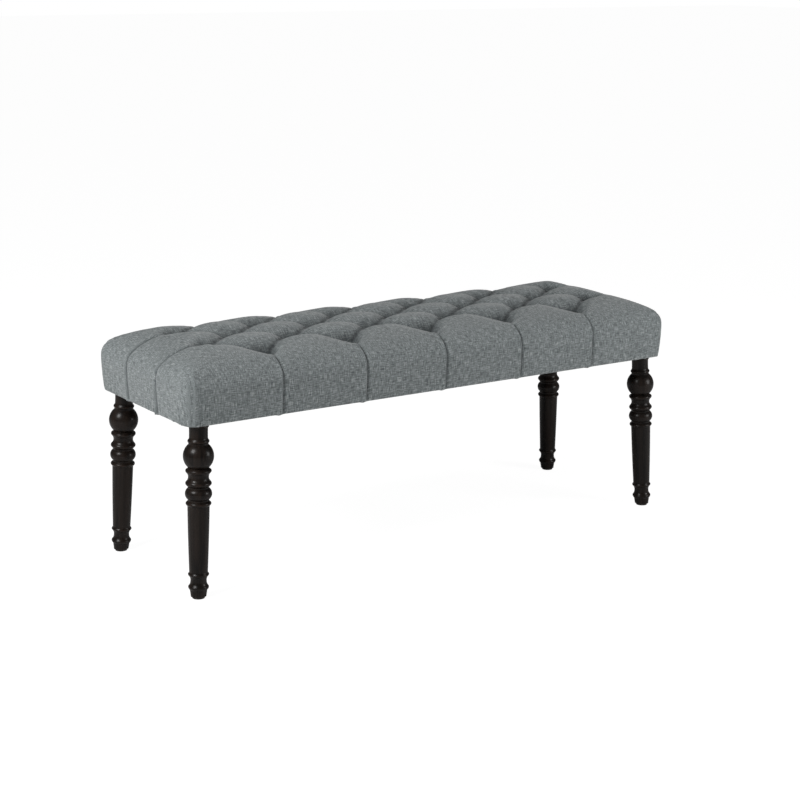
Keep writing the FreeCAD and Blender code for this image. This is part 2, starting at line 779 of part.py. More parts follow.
# Deck, foam, cover and dust cover
deck_blank = frame_slab("deck_blank", DECK_Z, FOAM_Z)
seat_deck = cut("seat_deck", deck_blank, tie_slots)
foam_blank = frame_slab("foam_blank", FOAM_Z, FOAM_TOP)
dressed(foam_blank, "Chamfer", top_edges(foam_blank.Tip), "Size", "foam_edge")
foam_pad = cut("foam_pad", foam_blank, tie_slots)
core = frame_slab("seat_core", FRAME_Z, FOAM_TOP)
dressed(core, "Chamfer", top_edges(core.Tip), "Size", "foam_edge")
cover_form = doc.addObject("Part::Feature", "cover_form")
cover_form.Shape = seat_form()
cover_shell = cut("cover_shell", cover_form, core)
OPENING_X = "(Sizes.bench_length / 2 - Sizes.side_draw_in - Sizes.tuck_width)"
OPENING_Y = "(Sizes.bench_depth / 2 - Sizes.side_draw_in - Sizes.tuck_width)"
opening = sized_box("cover_opening", f"2 * {OPENING_X}", f"2 * {OPENING_Y}", "2 * Sizes.cover_thickness",
                    f"-{OPENING_X}", f"-{OPENING_Y}", "Sizes.underside_height - Sizes.cover_thickness / 2")
cover_cuts = group("cover_cuts", [opening, tie_slots])
seat_cover = cut("seat_cover", cover_shell, cover_cuts)
DUST_X = "(Sizes.bench_length / 2 - Sizes.dust_cover_inset)"
DUST_Y = "(Sizes.bench_depth / 2 - Sizes.dust_cover_inset)"
dust_cover = doc.addObject("PartDesign::Body", "dust_cover")
dust_sketch = new_sketch(dust_cover, "dust_cover_outline")
CLIP = "Sizes.dust_cover_clip"
outline(dust_sketch, [
    (f"-{DUST_X}", f"{DUST_Y} - {CLIP}"),
    (f"-{DUST_X}", f"-({DUST_Y} - {CLIP})"),
    (f"-({DUST_X} - {CLIP})", f"-{DUST_Y}"),
    (f"{DUST_X} - {CLIP}", f"-{DUST_Y}"),
    (DUST_X, f"-({DUST_Y} - {CLIP})"),
    (DUST_X, f"{DUST_Y} - {CLIP}"),
    (f"{DUST_X} - {CLIP}", DUST_Y),
    (f"-({DUST_X} - {CLIP})", DUST_Y),
])
dust_pad = dust_cover.newObject("PartDesign::Pad", "dust_cover_pad")
dust_pad.Profile = dust_sketch
dust_pad.setExpression("Length", "Sizes.dust_cover_thickness")
dust_cover.setExpression("Placement.Base.z", "Sizes.underside_height - Sizes.dust_cover_thickness")

nodes = [front_rail, back_rail, *end_rails, *braces, *blocks, seat_deck, foam_pad, seat_cover, dust_cover]
nodes += [tuft_buttons, tuft_ties, tie_toggles, *legs, hanger_bolts, leg_inserts, foot_glides]
doc.recompute()
for item in doc.Objects:
    if "Invalid" in item.State or "Error" in item.State:
        raise RuntimeError(f"{item.Name} failed: {item.State}")
os.makedirs("parts", exist_ok=True)
for node in nodes:
    shape = node.Shape
    if shape.isNull() or not shape.isValid():
        raise RuntimeError(f"{node.Label} has no valid shape")
    shape.exportStep(f"parts/{node.Label}.step")
    box = shape.BoundBox
    print(f"{node.Label:16s} {len(shape.Solids):3d} solids {len(shape.Faces):5d} faces "
          f"X {box.XMin:8.2f} {box.XMax:8.2f}  Y {box.YMin:8.2f} {box.YMax:8.2f}  Z {box.ZMin:7.2f} {box.ZMax:7.2f}")
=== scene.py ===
"""Upholstered bench: diamond tufted seat, turned legs, frame and trim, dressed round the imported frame.

All lengths are in metres, in the frame's own axes: X along the bench, Y from front to back, Z up.
"""

import logging
import math
from dataclasses import dataclass, field
from enum import Enum

import bmesh
import bpy
import numpy as np
from mathutils import Matrix, Vector


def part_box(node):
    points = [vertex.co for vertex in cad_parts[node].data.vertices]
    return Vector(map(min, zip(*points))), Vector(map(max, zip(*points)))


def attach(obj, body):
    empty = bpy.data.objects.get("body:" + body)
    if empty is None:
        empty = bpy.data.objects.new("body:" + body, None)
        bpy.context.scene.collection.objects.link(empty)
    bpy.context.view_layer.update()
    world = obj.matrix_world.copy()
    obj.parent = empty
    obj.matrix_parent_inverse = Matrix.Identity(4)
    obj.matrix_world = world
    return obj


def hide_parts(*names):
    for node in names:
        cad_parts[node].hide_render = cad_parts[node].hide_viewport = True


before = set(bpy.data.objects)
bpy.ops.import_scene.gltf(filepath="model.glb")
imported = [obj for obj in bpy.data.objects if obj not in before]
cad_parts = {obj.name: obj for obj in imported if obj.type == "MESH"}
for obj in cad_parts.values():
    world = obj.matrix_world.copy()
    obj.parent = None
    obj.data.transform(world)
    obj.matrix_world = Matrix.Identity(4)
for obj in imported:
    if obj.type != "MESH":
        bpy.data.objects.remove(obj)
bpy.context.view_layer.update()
MM = 0.001
ROOT = "root"
log = logging.getLogger("bench")

Array = np.ndarray
Form = bmesh.types.BMesh
Item = bpy.types.Object
Mesh = bpy.types.Mesh
Output = bpy.types.NodeSocket
Triple = tuple[float, float, float]
Pair = tuple[float, float]


def smoothstep(low: float, high: float, value: Array) -> Array:
    """Ease from 0 at low to 1 at high.

    Args:
        low: Value that gives 0.
        high: Value that gives 1.
        value: Values to ease.

    Returns:
        The eased values.
    """
    share = np.clip((value - low) / (high - low), 0.0, 1.0)
    return share * share * (3.0 - 2.0 * share)


def mix(start: float, end: float, share: Array) -> Array:
    """Value part of the way from start to end."""
    return start + (end - start) * share


def new_object(name: str, mesh: Mesh) -> Item:
    """Link a new object with this mesh to the scene.

    Args:
        name: The object's name.
        mesh: Its mesh.

    Returns:
        The object.
    """
    item = bpy.data.objects.new(name, mesh)
    bpy.context.scene.collection.objects.link(item)
    return item


def mesh_from(name: str, form: Form) -> Mesh:
    """Turn a bmesh into a mesh and free it.

    Args:
        name: The mesh's name.
        form: The bmesh, which isn't used again.

    Returns:
        The mesh.
    """
    mesh = bpy.data.meshes.new(name)
    form.to_mesh(mesh)
    form.free()
    return mesh


def rows(elements: bpy.types.bpy_prop_collection, name: str) -> Array:
    """Read a vector from every element.

    Args:
        elements: The elements.
        name: The vector's name.

    Returns:
        One row of three numbers for each element.
    """
    values = np.empty(len(elements) * 3)
    elements.foreach_get(name, values)
    return values.reshape(-1, 3)


def coordinates(mesh: Mesh) -> Array:
    """Places of a mesh's vertices, one row each."""
    return rows(mesh.vertices, "co")


def normals(mesh: Mesh) -> Array:
    """Normals of a mesh's vertices, one row each."""
    return rows(mesh.vertex_normals, "vector")


def move_to(mesh: Mesh, places: Array) -> None:
    """Put a mesh's vertices at new places."""
    mesh.vertices.foreach_set("co", places.ravel())
    mesh.update()


def map_cloth(mesh: Mesh, places: Array) -> None:
    """Lay the weave over a mesh.

    Args:
        mesh: The mesh.
        places: Place of each vertex on the flat cloth, one row each.
    """
    layer = mesh.uv_layers.new(name="cloth")
    corners = np.empty(len(mesh.loops), dtype=np.int64)
    mesh.loops.foreach_get("vertex_index", corners)
    layer.data.foreach_set("uv", places[corners].ravel())


def settle(item: Item) -> Mesh:
    """Replace an object's mesh by the result of its modifiers, and remove them.

    Args:
        item: Object with live modifiers.

    Returns:
        The new mesh.
    """
    shaped = item.evaluated_get(bpy.context.evaluated_depsgraph_get())
    mesh = bpy.data.meshes.new_from_object(shaped)
    item.modifiers.clear()
    item.data = mesh
    return mesh


def turn_profile(form: Form, points: list, steps: int) -> None:
    """Turn a profile into a solid round the Z axis.

    Args:
        form: The bmesh that holds the profile.
        points: The profile's vertices in order.
        steps: How many faces go round.
    """
    edges = [form.edges.new(pair) for pair in zip(points, points[1:])]
    bmesh.ops.spin(form, geom=points + edges, cent=(0, 0, 0), axis=(0, 0, 1), angle=2 * math.pi,
                   steps=steps, use_merge=True)


def cut_away(form: Form, place: Triple, direction: Triple) -> None:
    """Cut off what lies beyond a plane."""
    everything = form.verts[:] + form.edges[:] + form.faces[:]
    bmesh.ops.bisect_plane(form, geom=everything, plane_co=place, plane_no=direction, clear_outer=True)


def round_edges(form: Form, edges: list, offset: float, segments: int) -> None:
    """Round some edges of a bmesh."""
    bmesh.ops.bevel(form, geom=edges, offset=offset, offset_type="OFFSET", affect="EDGES",
                    segments=segments, profile=0.5, material=-1)


def smooth(mesh: Mesh, sharp_angle: float = math.radians(40)) -> None:
    """Shade a mesh smoothly, apart from edges past an angle."""
    mesh.shade_smooth()
    mesh.set_sharp_from_angle(angle=sharp_angle)


def dress(item: Item, material: bpy.types.Material) -> None:
    """Give an object one material."""
    item.data.materials.clear()
    item.data.materials.append(material)


def report(item: Item) -> None:
    """Log a piece's name and size in faces."""
    log.info("%s: %d faces", item.name, len(item.data.polygons))


class Graph:
    """A short way to write the nodes of a material or a node group."""

    def __init__(self, tree: bpy.types.NodeTree) -> None:
        """Keep the tree that the nodes go in."""
        self.tree = tree

    def feed(self, socket: Output, value: object) -> None:
        """Link an output to a socket, or set the socket's own value.

        Args:
            socket: The socket.
            value: An output, a number, a vector, or a colour without its alpha.
        """
        if isinstance(value, Output):
            self.tree.links.new(value, socket)
        elif socket.type == "RGBA":
            socket.default_value = (*value, 1.0)
        else:
            socket.default_value = value

    def fill(self, node: bpy.types.Node, inputs: dict) -> None:
        """Feed several inputs of a node, by name or index."""
        for name, value in inputs.items():
            self.feed(node.inputs[name], value)

    def node(self, kind: str, inputs: dict | None = None, **settings: object) -> bpy.types.Node:
        """Add a node.

        Args:
            kind: Blender's name of the node type.
            inputs: Socket name or index to a value or to an output socket that feeds it.
            settings: Properties of the node.

        Returns:
            The node.
        """
        made = self.tree.nodes.new(kind)
        for name, value in settings.items():
            setattr(made, name, value)
        self.fill(made, inputs or {})
        return made

    def math(self, operation: str, first: object, second: object = 0.0) -> Output:
        """Output of a Math node."""
        return self.node("ShaderNodeMath", {0: first, 1: second}, operation=operation).outputs[0]

    def times(self, first: object, second: object) -> Output:
        """First times second."""
        return self.math("MULTIPLY", first, second)

    def plus(self, first: object, second: object) -> Output:
        """First plus second."""
        return self.math("ADD", first, second)

    def between(self, value: object, low: float, high: float) -> Output:
        """Output that rises from 0 at low to 1 at high."""
        inputs = {"Value": value, "From Min": low, "From Max": high}
        return self.node("ShaderNodeMapRange", inputs, interpolation_type="SMOOTHSTEP").outputs[0]

    def noise(self, vector: object, scale: float, detail: float = 3.0, roughness: float = 0.5) -> Output:
        """Output of a noise texture."""
        inputs = {"Vector": vector, "Scale": scale, "Detail": detail, "Roughness": roughness}
        return self.node("ShaderNodeTexNoise", inputs).outputs["Fac"]

    def stretched(self, vector: object, scale: Triple) -> Output:
        """Vector multiplied axis by axis."""
        return self.node("ShaderNodeVectorMath", {0: vector, 1: scale}, operation="MULTIPLY").outputs[0]

    def sized(self, vector: object, scale: object) -> Output:
        """Vector multiplied by one number."""
        inputs = {0: vector, "Scale": scale}
        return self.node("ShaderNodeVectorMath", inputs, operation="SCALE").outputs[0]

    def part(self, share: object, first: object, second: object) -> Output:
        """Number part of the way from the first to the second."""
        return self.node("ShaderNodeMix", {"Factor": share, "A": first, "B": second}).outputs[0]

    def blend(self, share: object, first: object, second: object, kind: str = "MIX") -> Output:
        """Output of a colour mix."""
        inputs = {"Factor": share, "A": first, "B": second}
        return self.node("ShaderNodeMix", inputs, data_type="RGBA", blend_type=kind).outputs["Result"]

    def object_vector(self) -> Output:
        """Object coordinates."""
        return self.node("ShaderNodeTexCoord").outputs["Object"]

    def group(self, tree: bpy.types.NodeTree, inputs: dict) -> bpy.types.Node:
        """Place a node group with its own values."""
        return self.node("ShaderNodeGroup", inputs, node_tree=tree)

    def bump(self, shader: bpy.types.Node, height: object, depth: float, strength: float) -> None:
        """Raise a shader's surface by a height of the given depth in metres."""
        inputs = {"Height": height, "Distance": depth, "Strength": strength}
        self.feed(shader.inputs["Normal"], self.node("ShaderNodeBump", inputs).outputs[0])


class Socket(Enum):
    """Kinds of sockets that the node groups have."""

    NUMBER = "NodeSocketFloat"
    VECTOR = "NodeSocketVector"


def group_tree(name: str, inputs: dict[str, Socket], outputs: list[str]) -> tuple[Graph, dict, dict]:
    """Start a node group.

    Args:
        name: The group's name.
        inputs: Names and kinds of its inputs.
        outputs: Names of its outputs, all numbers.

    Returns:
        The graph, the inputs as outputs of its first node, and the inputs of its last node.
    """
    tree = bpy.data.node_groups.new(name, "ShaderNodeTree")
    for title, kind in inputs.items():
        tree.interface.new_socket(title, in_out="INPUT", socket_type=kind.value)
    for title in outputs:
        tree.interface.new_socket(title, in_out="OUTPUT", socket_type=Socket.NUMBER.value)
    graph = Graph(tree)
    start = graph.node("NodeGroupInput").outputs
    end = graph.node("NodeGroupOutput").inputs
    return graph, {title: start[title] for title in inputs}, {title: end[title] for title in outputs}


THREAD_WIDTH_SCALE = 620.0
THREAD_RUN_SCALE = 70.0
SLUB_SHARE = 0.55
SLUB_HEIGHT = 0.8


def weave_group() -> bpy.types.NodeTree:
    """Plain weave of warp and weft threads, with slubs along each thread.

    Returns:
        A group with the outputs Height and Tone.
    """
    inputs = {"Vector": Socket.VECTOR, "Pitch": Socket.NUMBER}
    graph, take, give = group_tree("plain_weave", inputs, ["Height", "Tone"])
    parts = graph.node("ShaderNodeSeparateXYZ", {0: take["Vector"]})
    waves = []
    for axis in (0, 1):
        turns = graph.math("DIVIDE", parts.outputs[axis], take["Pitch"])
        waves.append(graph.math("SINE", graph.times(turns, math.pi)))
    crossing = graph.math("GREATER_THAN", graph.times(waves[0], waves[1]), 0.0)
    warp = graph.math("ABSOLUTE", waves[0])
    weft = graph.math("ABSOLUTE", waves[1])
    over = graph.part(crossing, warp, weft)
    along_y = graph.stretched(take["Vector"], (THREAD_WIDTH_SCALE, THREAD_RUN_SCALE, 1.0))
    along_x = graph.stretched(take["Vector"], (THREAD_RUN_SCALE, THREAD_WIDTH_SCALE, 1.0))
    fine = graph.noise(along_y, 1.0, 2.0)
    cross = graph.noise(along_x, 1.0, 2.0)
    slub = graph.part(crossing, fine, cross)
    both = graph.times(graph.plus(fine, cross), 0.5)
    tone = graph.plus(graph.times(slub, SLUB_SHARE), graph.times(both, 1 - SLUB_SHARE))
    graph.feed(give["Height"], graph.plus(over, graph.times(slub, SLUB_HEIGHT)))
    graph.feed(give["Tone"], tone)
    return graph.tree


WARP_SCALE = (9.0, 9.0, 2.0)
WARP_REACH = (0.02, 0.02, 0.0)
BAND_SCALE = (75.0, 75.0, 2.2)
FIBRE_SCALE = (420.0, 420.0, 9.0)
PORE_SCALE = (900.0, 900.0, 26.0)
BAND_LIMITS = (0.36, 0.66)
PORE_LIMITS = (0.60, 0.74)


def grain_group() -> bpy.types.NodeTree:
    """Wood grain along Z: broad bands, fine fibres and open pores.

    Returns:
        A group with the outputs Bands, Fibres and Pores.
    """
    inputs = {"Vector": Socket.VECTOR, "Fineness": Socket.NUMBER}
    graph, take, give = group_tree("wood_grain", inputs, ["Bands", "Fibres", "Pores"])
    vector = graph.sized(take["Vector"], take["Fineness"])
    warp = graph.noise(graph.stretched(vector, WARP_SCALE), 1.0)
    sideways = graph.node("ShaderNodeCombineXYZ", {0: warp, 1: warp}).outputs[0]
    inputs = {0: vector, 1: graph.stretched(sideways, WARP_REACH)}
    shifted = graph.node("ShaderNodeVectorMath", inputs, operation="ADD").outputs[0]
    bands = graph.noise(graph.stretched(shifted, BAND_SCALE), 1.0, 4.0, 0.6)
    fibres = graph.noise(graph.stretched(vector, FIBRE_SCALE), 1.0, 3.0, 0.6)
    pores = graph.noise(graph.stretched(vector, PORE_SCALE), 1.0, 2.0, 0.5)
    graph.feed(give["Bands"], graph.between(bands, *BAND_LIMITS))
    graph.feed(give["Fibres"], fibres)
    graph.feed(give["Pores"], graph.between(pores, *PORE_LIMITS))
    return graph.tree


CONVEX_LIMITS = (0.515, 0.57)
RUBBED_LIMITS = (0.38, 0.62)
MOTTLE_SCALE = 6.0


def wear_group() -> bpy.types.NodeTree:
    """Marks left by handling: worn convex edges and faint mottling.

    Returns:
        A group with the outputs Edges and Mottle.
    """
    inputs = {"Vector": Socket.VECTOR, "Scale": Socket.NUMBER}
    graph, take, give = group_tree("handling_wear", inputs, ["Edges", "Mottle"])
    mottle = graph.noise(graph.sized(take["Vector"], take["Scale"]), MOTTLE_SCALE, 5.0, 0.62)
    point = graph.node("ShaderNodeNewGeometry").outputs["Pointiness"]
    worn = graph.between(point, *CONVEX_LIMITS)
    graph.feed(give["Edges"], graph.times(worn, graph.between(mottle, *RUBBED_LIMITS)))
    graph.feed(give["Mottle"], mottle)
    return graph.tree


WEAVE = weave_group()
GRAIN = grain_group()
WEAR = wear_group()


def material_graph(name: str) -> tuple[bpy.types.Material, Graph, bpy.types.Node]:
    """New node material with an empty Principled shader.

    Args:
        name: The material's name.

    Returns:
        The material, its graph and its shader node.
    """
    material = bpy.data.materials.new(name)
    material.use_nodes = True
    return material, Graph(material.node_tree), material.node_tree.nodes["Principled BSDF"]


@dataclass(frozen=True)
class Linen:
    """Heathered woven upholstery cloth, darkened by painted shade in its creases."""

    name: str
    dark: Triple
    middle: Triple
    light: Triple
    dark_limits: Pair = (0.38, 0.49)
    light_limits: Pair = (0.50, 0.62)
    patch_scale: float = 14.0
    patch_share: float = 0.22
    # Painted shade: the dark colour that creases, seams and tuft pits are blended towards, and how strongly.
    painted_crease_shade: Triple = (0.030, 0.036, 0.038)
    painted_shade_strength: float = 0.72
    pitch: float = 1.3 * MM
    thread_height: float = 0.16 * MM
    roughness: float = 0.92

    def material(self) -> bpy.types.Material:
        """Cloth with two tones of thread, slubs, soft patches and a little fuzz, and painted shade in its
        pleats, seams and pits.

        Returns:
            The material.
        """
        material, graph, shader = material_graph(self.name)
        place = graph.node("ShaderNodeUVMap", uv_map="cloth").outputs[0]
        weave = graph.group(WEAVE, {"Vector": place, "Pitch": self.pitch})
        tone = weave.outputs["Tone"]
        low = graph.blend(graph.between(tone, *self.dark_limits), self.dark, self.middle)
        threads = graph.blend(graph.between(tone, *self.light_limits), low, self.light)
        patches = graph.noise(graph.object_vector(), self.patch_scale, 4.0, 0.6)
        shade = graph.plus(graph.times(patches, self.patch_share), 1 - self.patch_share / 2)
        grey = graph.node("ShaderNodeCombineColor", {0: shade, 1: shade, 2: shade}).outputs[0]
        shaded = graph.blend(1.0, threads, grey, "MULTIPLY")
        # Painted shade: the stored crease amount darkens the cloth where shade falls in its folds and pits.
        painted_crease_shade = graph.node("ShaderNodeAttribute", attribute_name="painted_crease_shade").outputs["Fac"]
        colour = graph.blend(graph.times(painted_crease_shade, self.painted_shade_strength), shaded, self.painted_crease_shade)
        graph.fill(shader, {"Base Color": colour, "Roughness": self.roughness, "Sheen Weight": 0.25,
                            "Sheen Roughness": 0.5, "Specular IOR Level": 0.25})
        graph.bump(shader, weave.outputs["Height"], self.thread_height, 0.7)
        return material


@dataclass(frozen=True)
class Wood:
    """Wood with a clear or stained finish and its grain along an attribute or along X or Z."""

    name: str
    dark: Triple
    light: Triple
    roughness: float
    coat: float = 0.0
    coat_roughness: float = 0.16
    fineness: float = 1.0
    attribute: str = ""
    turn: Triple = (0.0, 0.0, 0.0)
    streak_limits: Pair = (0.42, 0.70)
    streak_share: float = 0.55
    pore_share: float = 0.5
    edge: Triple = (0.3, 0.2, 0.12)
    edge_share: float = 0.2
    wear_scale: float = 9.0
    mottle: float = 0.16
    specular: float = 0.5
    relief: float = 0.12 * MM

    def material(self) -> bpy.types.Material:
        """Grain bands, fibres and pores under the finish, paler where edges are worn.

        Returns:
            The material.
        """
        material, graph, shader = material_graph(self.name)
        if self.attribute:
            place = graph.node("ShaderNodeAttribute", attribute_name=self.attribute).outputs["Vector"]
        else:
            turned = {"Vector": graph.object_vector(), "Rotation": self.turn}
            place = graph.node("ShaderNodeMapping", turned).outputs[0]
        grain = graph.group(GRAIN, {"Vector": place, "Fineness": self.fineness}).outputs
        wear = graph.group(WEAR, {"Vector": place, "Scale": self.wear_scale}).outputs
        bands = graph.blend(grain["Bands"], self.dark, self.light)
        streak = graph.between(grain["Fibres"], *self.streak_limits)
        fibres = graph.blend(graph.times(streak, self.streak_share), bands, self.light)
        pores = graph.blend(graph.times(grain["Pores"], self.pore_share), fibres, self.dark)
        worn = graph.blend(graph.times(wear["Edges"], self.edge_share), pores, self.edge)
        rough = graph.plus(graph.times(wear["Mottle"], self.mottle), self.roughness - self.mottle / 2)
        graph.fill(shader, {"Base Color": worn, "Roughness": rough, "Specular IOR Level": self.specular,
                            "Coat Weight": self.coat, "Coat Roughness": self.coat_roughness})
        height = graph.math("SUBTRACT", graph.times(grain["Fibres"], 0.5), grain["Pores"])
        graph.bump(shader, height, self.relief, 0.35)
        return material


@dataclass(frozen=True)
class Plywood:
    """Plywood board with its face grain along X."""

    name: str = "plywood"
    dark: Triple = (0.42, 0.27, 0.14)
    light: Triple = (0.60, 0.42, 0.25)
    layer: float = 3.0 * MM
    fineness: float = 0.4

    def material(self) -> bpy.types.Material:
        """Face veneer with a lengthwise grain, and layers on the edges.

        Returns:
            The material.
        """
        material, graph, shader = material_graph(self.name)
        place = graph.object_vector()
        turned = {"Vector": place, "Rotation": (0.0, math.pi / 2, 0.0)}
        lengthwise = graph.node("ShaderNodeMapping", turned).outputs[0]
        grain = graph.group(GRAIN, {"Vector": lengthwise, "Fineness": self.fineness}).outputs
        veneer = graph.blend(grain["Bands"], self.dark, self.light)
        parts = graph.node("ShaderNodeSeparateXYZ", {0: place})
        layer = graph.math("SINE", graph.times(parts.outputs[2], 2 * math.pi / self.layer))
        striped = graph.blend(graph.between(layer, -0.2, 0.2), self.dark, veneer)
        facing = graph.node("ShaderNodeNewGeometry").outputs["Normal"]
        flat = graph.math("ABSOLUTE", graph.node("ShaderNodeSeparateXYZ", {0: facing}).outputs[2])
        colour = graph.blend(graph.between(flat, 0.4, 0.6), striped, veneer)
        graph.fill(shader, {"Base Color": colour, "Roughness": 0.8})
        graph.bump(shader, grain["Fibres"], 0.2 * MM, 0.5)
        return material


@dataclass(frozen=True)
class Metal:
    """Zinc plated or plain steel."""

    name: str
    colour: Triple
    roughness: float
    dulled: float = 0.75
    mottle: float = 0.2
    mottle_scale: float = 60.0

    def material(self) -> bpy.types.Material:
        """Metal with a fine crystalline mottling.

        Returns:
            The material.
        """
        material, graph, shader = material_graph(self.name)
        wear = graph.group(WEAR, {"Vector": graph.object_vector(), "Scale": self.mottle_scale})
        mottle = wear.outputs["Mottle"]
        dull = tuple(self.dulled * share for share in self.colour)
        tint = graph.blend(mottle, dull, self.colour)
        rough = graph.plus(graph.times(mottle, self.mottle), self.roughness - self.mottle / 2)
        graph.fill(shader, {"Base Color": tint, "Metallic": 1.0, "Roughness": rough})
        graph.bump(shader, mottle, 0.05 * MM, 0.3)
        return material


@dataclass(frozen=True)
class Plastic:
    """Moulded plastic with a fine matte skin."""

    name: str
    colour: Triple
    roughness: float = 0.55
    mottle: float = 0.2
    mottle_scale: float = 40.0
    peel_scale: float = 2600.0

    def material(self) -> bpy.types.Material:
        """Plastic with a fine orange peel and scuffed edges.

        Returns:
            The material.
        """
        material, graph, shader = material_graph(self.name)
        place = graph.object_vector()
        wear = graph.group(WEAR, {"Vector": place, "Scale": self.mottle_scale}).outputs
        paler = tuple(min(1.0, 2.2 * share + 0.02) for share in self.colour)
        share = graph.plus(graph.times(wear["Edges"], 0.5), graph.times(wear["Mottle"], 0.12))
        colour = graph.blend(share, self.colour, paler)
        rough = graph.plus(graph.times(wear["Mottle"], self.mottle), self.roughness - self.mottle / 2)
        graph.fill(shader, {"Base Color": colour, "Roughness": rough})
        graph.bump(shader, graph.noise(place, self.peel_scale, 2.0), 0.04 * MM, 0.4)
        return material


@dataclass(frozen=True)
class Nonwoven:
    """Thin non-woven cloth or woven tape."""

    name: str
    colour: Triple
    dots: float = 1.6 * MM
    fibre_scale: Triple = (900.0, 260.0, 600.0)

    def material(self) -> bpy.types.Material:
        """Cloth with a bonded dot pattern and loose fibres.

        Returns:
            The material.
        """
        material, graph, shader = material_graph(self.name)
        place = graph.object_vector()
        parts = graph.node("ShaderNodeSeparateXYZ", {0: place})
        rate = 2 * math.pi / self.dots
        waves = [graph.math("SINE", graph.times(parts.outputs[axis], rate)) for axis in (0, 1)]
        dots = graph.between(graph.times(*waves), 0.25, 0.6)
        fibres = graph.noise(graph.stretched(place, self.fibre_scale), 1.0, 4.0, 0.65)
        paler = tuple(min(1.0, 1.9 * share + 0.012) for share in self.colour)
        tint = graph.blend(graph.between(fibres, 0.35, 0.7), self.colour, paler)
        graph.fill(shader, {"Base Color": tint, "Roughness": 0.95})
        graph.bump(shader, graph.math("SUBTRACT", fibres, dots), 0.12 * MM, 0.6)
        return material


LINEN = Linen("heathered_linen", dark=(0.092, 0.104, 0.107), middle=(0.178, 0.200, 0.203),
              light=(0.36, 0.388, 0.389))
ESPRESSO = Wood("espresso_wood", dark=(0.0035, 0.0028, 0.0024), light=(0.0160, 0.0110, 0.0085),
                roughness=0.34, coat=0.08, specular=0.13, attribute="turning",
                edge=(0.075, 0.040, 0.026), edge_share=0.22)
PINE_LONG = Wood("pine_long", dark=(0.46, 0.29, 0.14), light=(0.66, 0.47, 0.27), roughness=0.75,
                 fineness=0.45, turn=(0.0, math.pi / 2, 0.0))
PINE_CROSS = Wood("pine_cross", dark=(0.44, 0.28, 0.14), light=(0.64, 0.46, 0.27), roughness=0.75,
                  fineness=0.45, turn=(math.pi / 2, 0.0, 0.0))
ZINC = Metal("zinc_plate", colour=(0.62, 0.62, 0.60), roughness=0.36)
WIRE = Metal("staple_wire", colour=(0.55, 0.55, 0.54), roughness=0.30)
GLIDE = Plastic("glide_plastic", colour=(0.020, 0.018, 0.017))
TOGGLE = Plastic("toggle_plastic", colour=(0.05, 0.05, 0.05))
DUST = Nonwoven("dust_cloth", colour=(0.018, 0.018, 0.020))
TAPE = Nonwoven("tie_tape", colour=(0.52, 0.50, 0.45), dots=0.8 * MM)


@dataclass(frozen=True)
class Ridge:
    """Section across a fold: its height, where its middle lies, its half width and how sharp it is."""

    height: float
    middle: float
    width: float
    power: float = 2.0

    def at(self, offset: Array) -> Array:
        """Height at an offset from the fold's line."""
        return self.height * np.exp(-(np.abs(offset - self.middle) / self.width) ** self.power)


@dataclass(frozen=True)
class Swelling:
    """Settings of the simulation that lets the seat's cloth swell, and how far a point may move."""

    frames: int = 20
    quality: int = 4
    mass: float = 0.25
    tension: float = 12.0
    shear: float = 8.0
    bending: float = 0.8
    pressure: float = 12.0
    cap: float = 7 * MM
    hold_levels: int = 10
    tuft_hold: Pair = (12 * MM, 26 * MM)
    edge_hold: Pair = (6 * MM, 16 * MM)
    pleat_hold: Pair = (3 * MM, 9 * MM)
    pleat_hold_share: float = 0.9


PLEAT_GAP = Ridge(2.0 * MM, 0.0, 2.6 * MM, 1.0)
PLEAT_LAP = Ridge(1.3 * MM, 6 * MM, 4 * MM)
PLEAT_REACH = 16 * MM
SEAM_GAP = Ridge(3.2 * MM, 0.8 * MM, 1.9 * MM, 1.5)
SEAM_LAP = Ridge(2.0 * MM, -4.5 * MM, 4 * MM)
SEAM_REACH = 20 * MM
TUFT_GATHER = Ridge(0.8 * MM, 21 * MM, 9 * MM)
CORNER_GAP = Ridge(2.2 * MM, 0.0, 2.0 * MM, 1.5)
CORNER_LAP = Ridge(1.2 * MM, -4.5 * MM, 3.5 * MM)
CORNER_FOLDS = ((14 * MM, 1.0), (33 * MM, 0.45))
CORNER_TOP = (15 * MM, 40 * MM)
HANGING_LAP = Ridge(2 * MM, -7 * MM, 6 * MM)
HANGING_REACH = 30 * MM
LEG_PUCKER = Ridge(0.9, 0.0, 40 * MM)
LEG_ALONG_END = 130 * MM
LEG_ALONG_SIDE = 545 * MM
END_PUCKER = 1.7
SIDE_PUCKER = 0.5
PUCKER_FADE = 26 * MM
# Painted shade across the pleats and the seams, stored for the cloth's colour.
PLEAT_SHADE = Ridge(0.35, 0.0, 2.4 * MM)
SEAM_SHADE = Ridge(0.9, 0.8 * MM, 1.6 * MM)
SEAM_SHADE_REACH = 12 * MM


def wandering_wave(along: Array, rate: float, drift: float, drift_rate: float) -> Array:
    """Cosine wave along a length, whose phase drifts to and fro; rates in radians a metre."""
    return np.cos(along * rate + drift * np.cos(along * drift_rate))


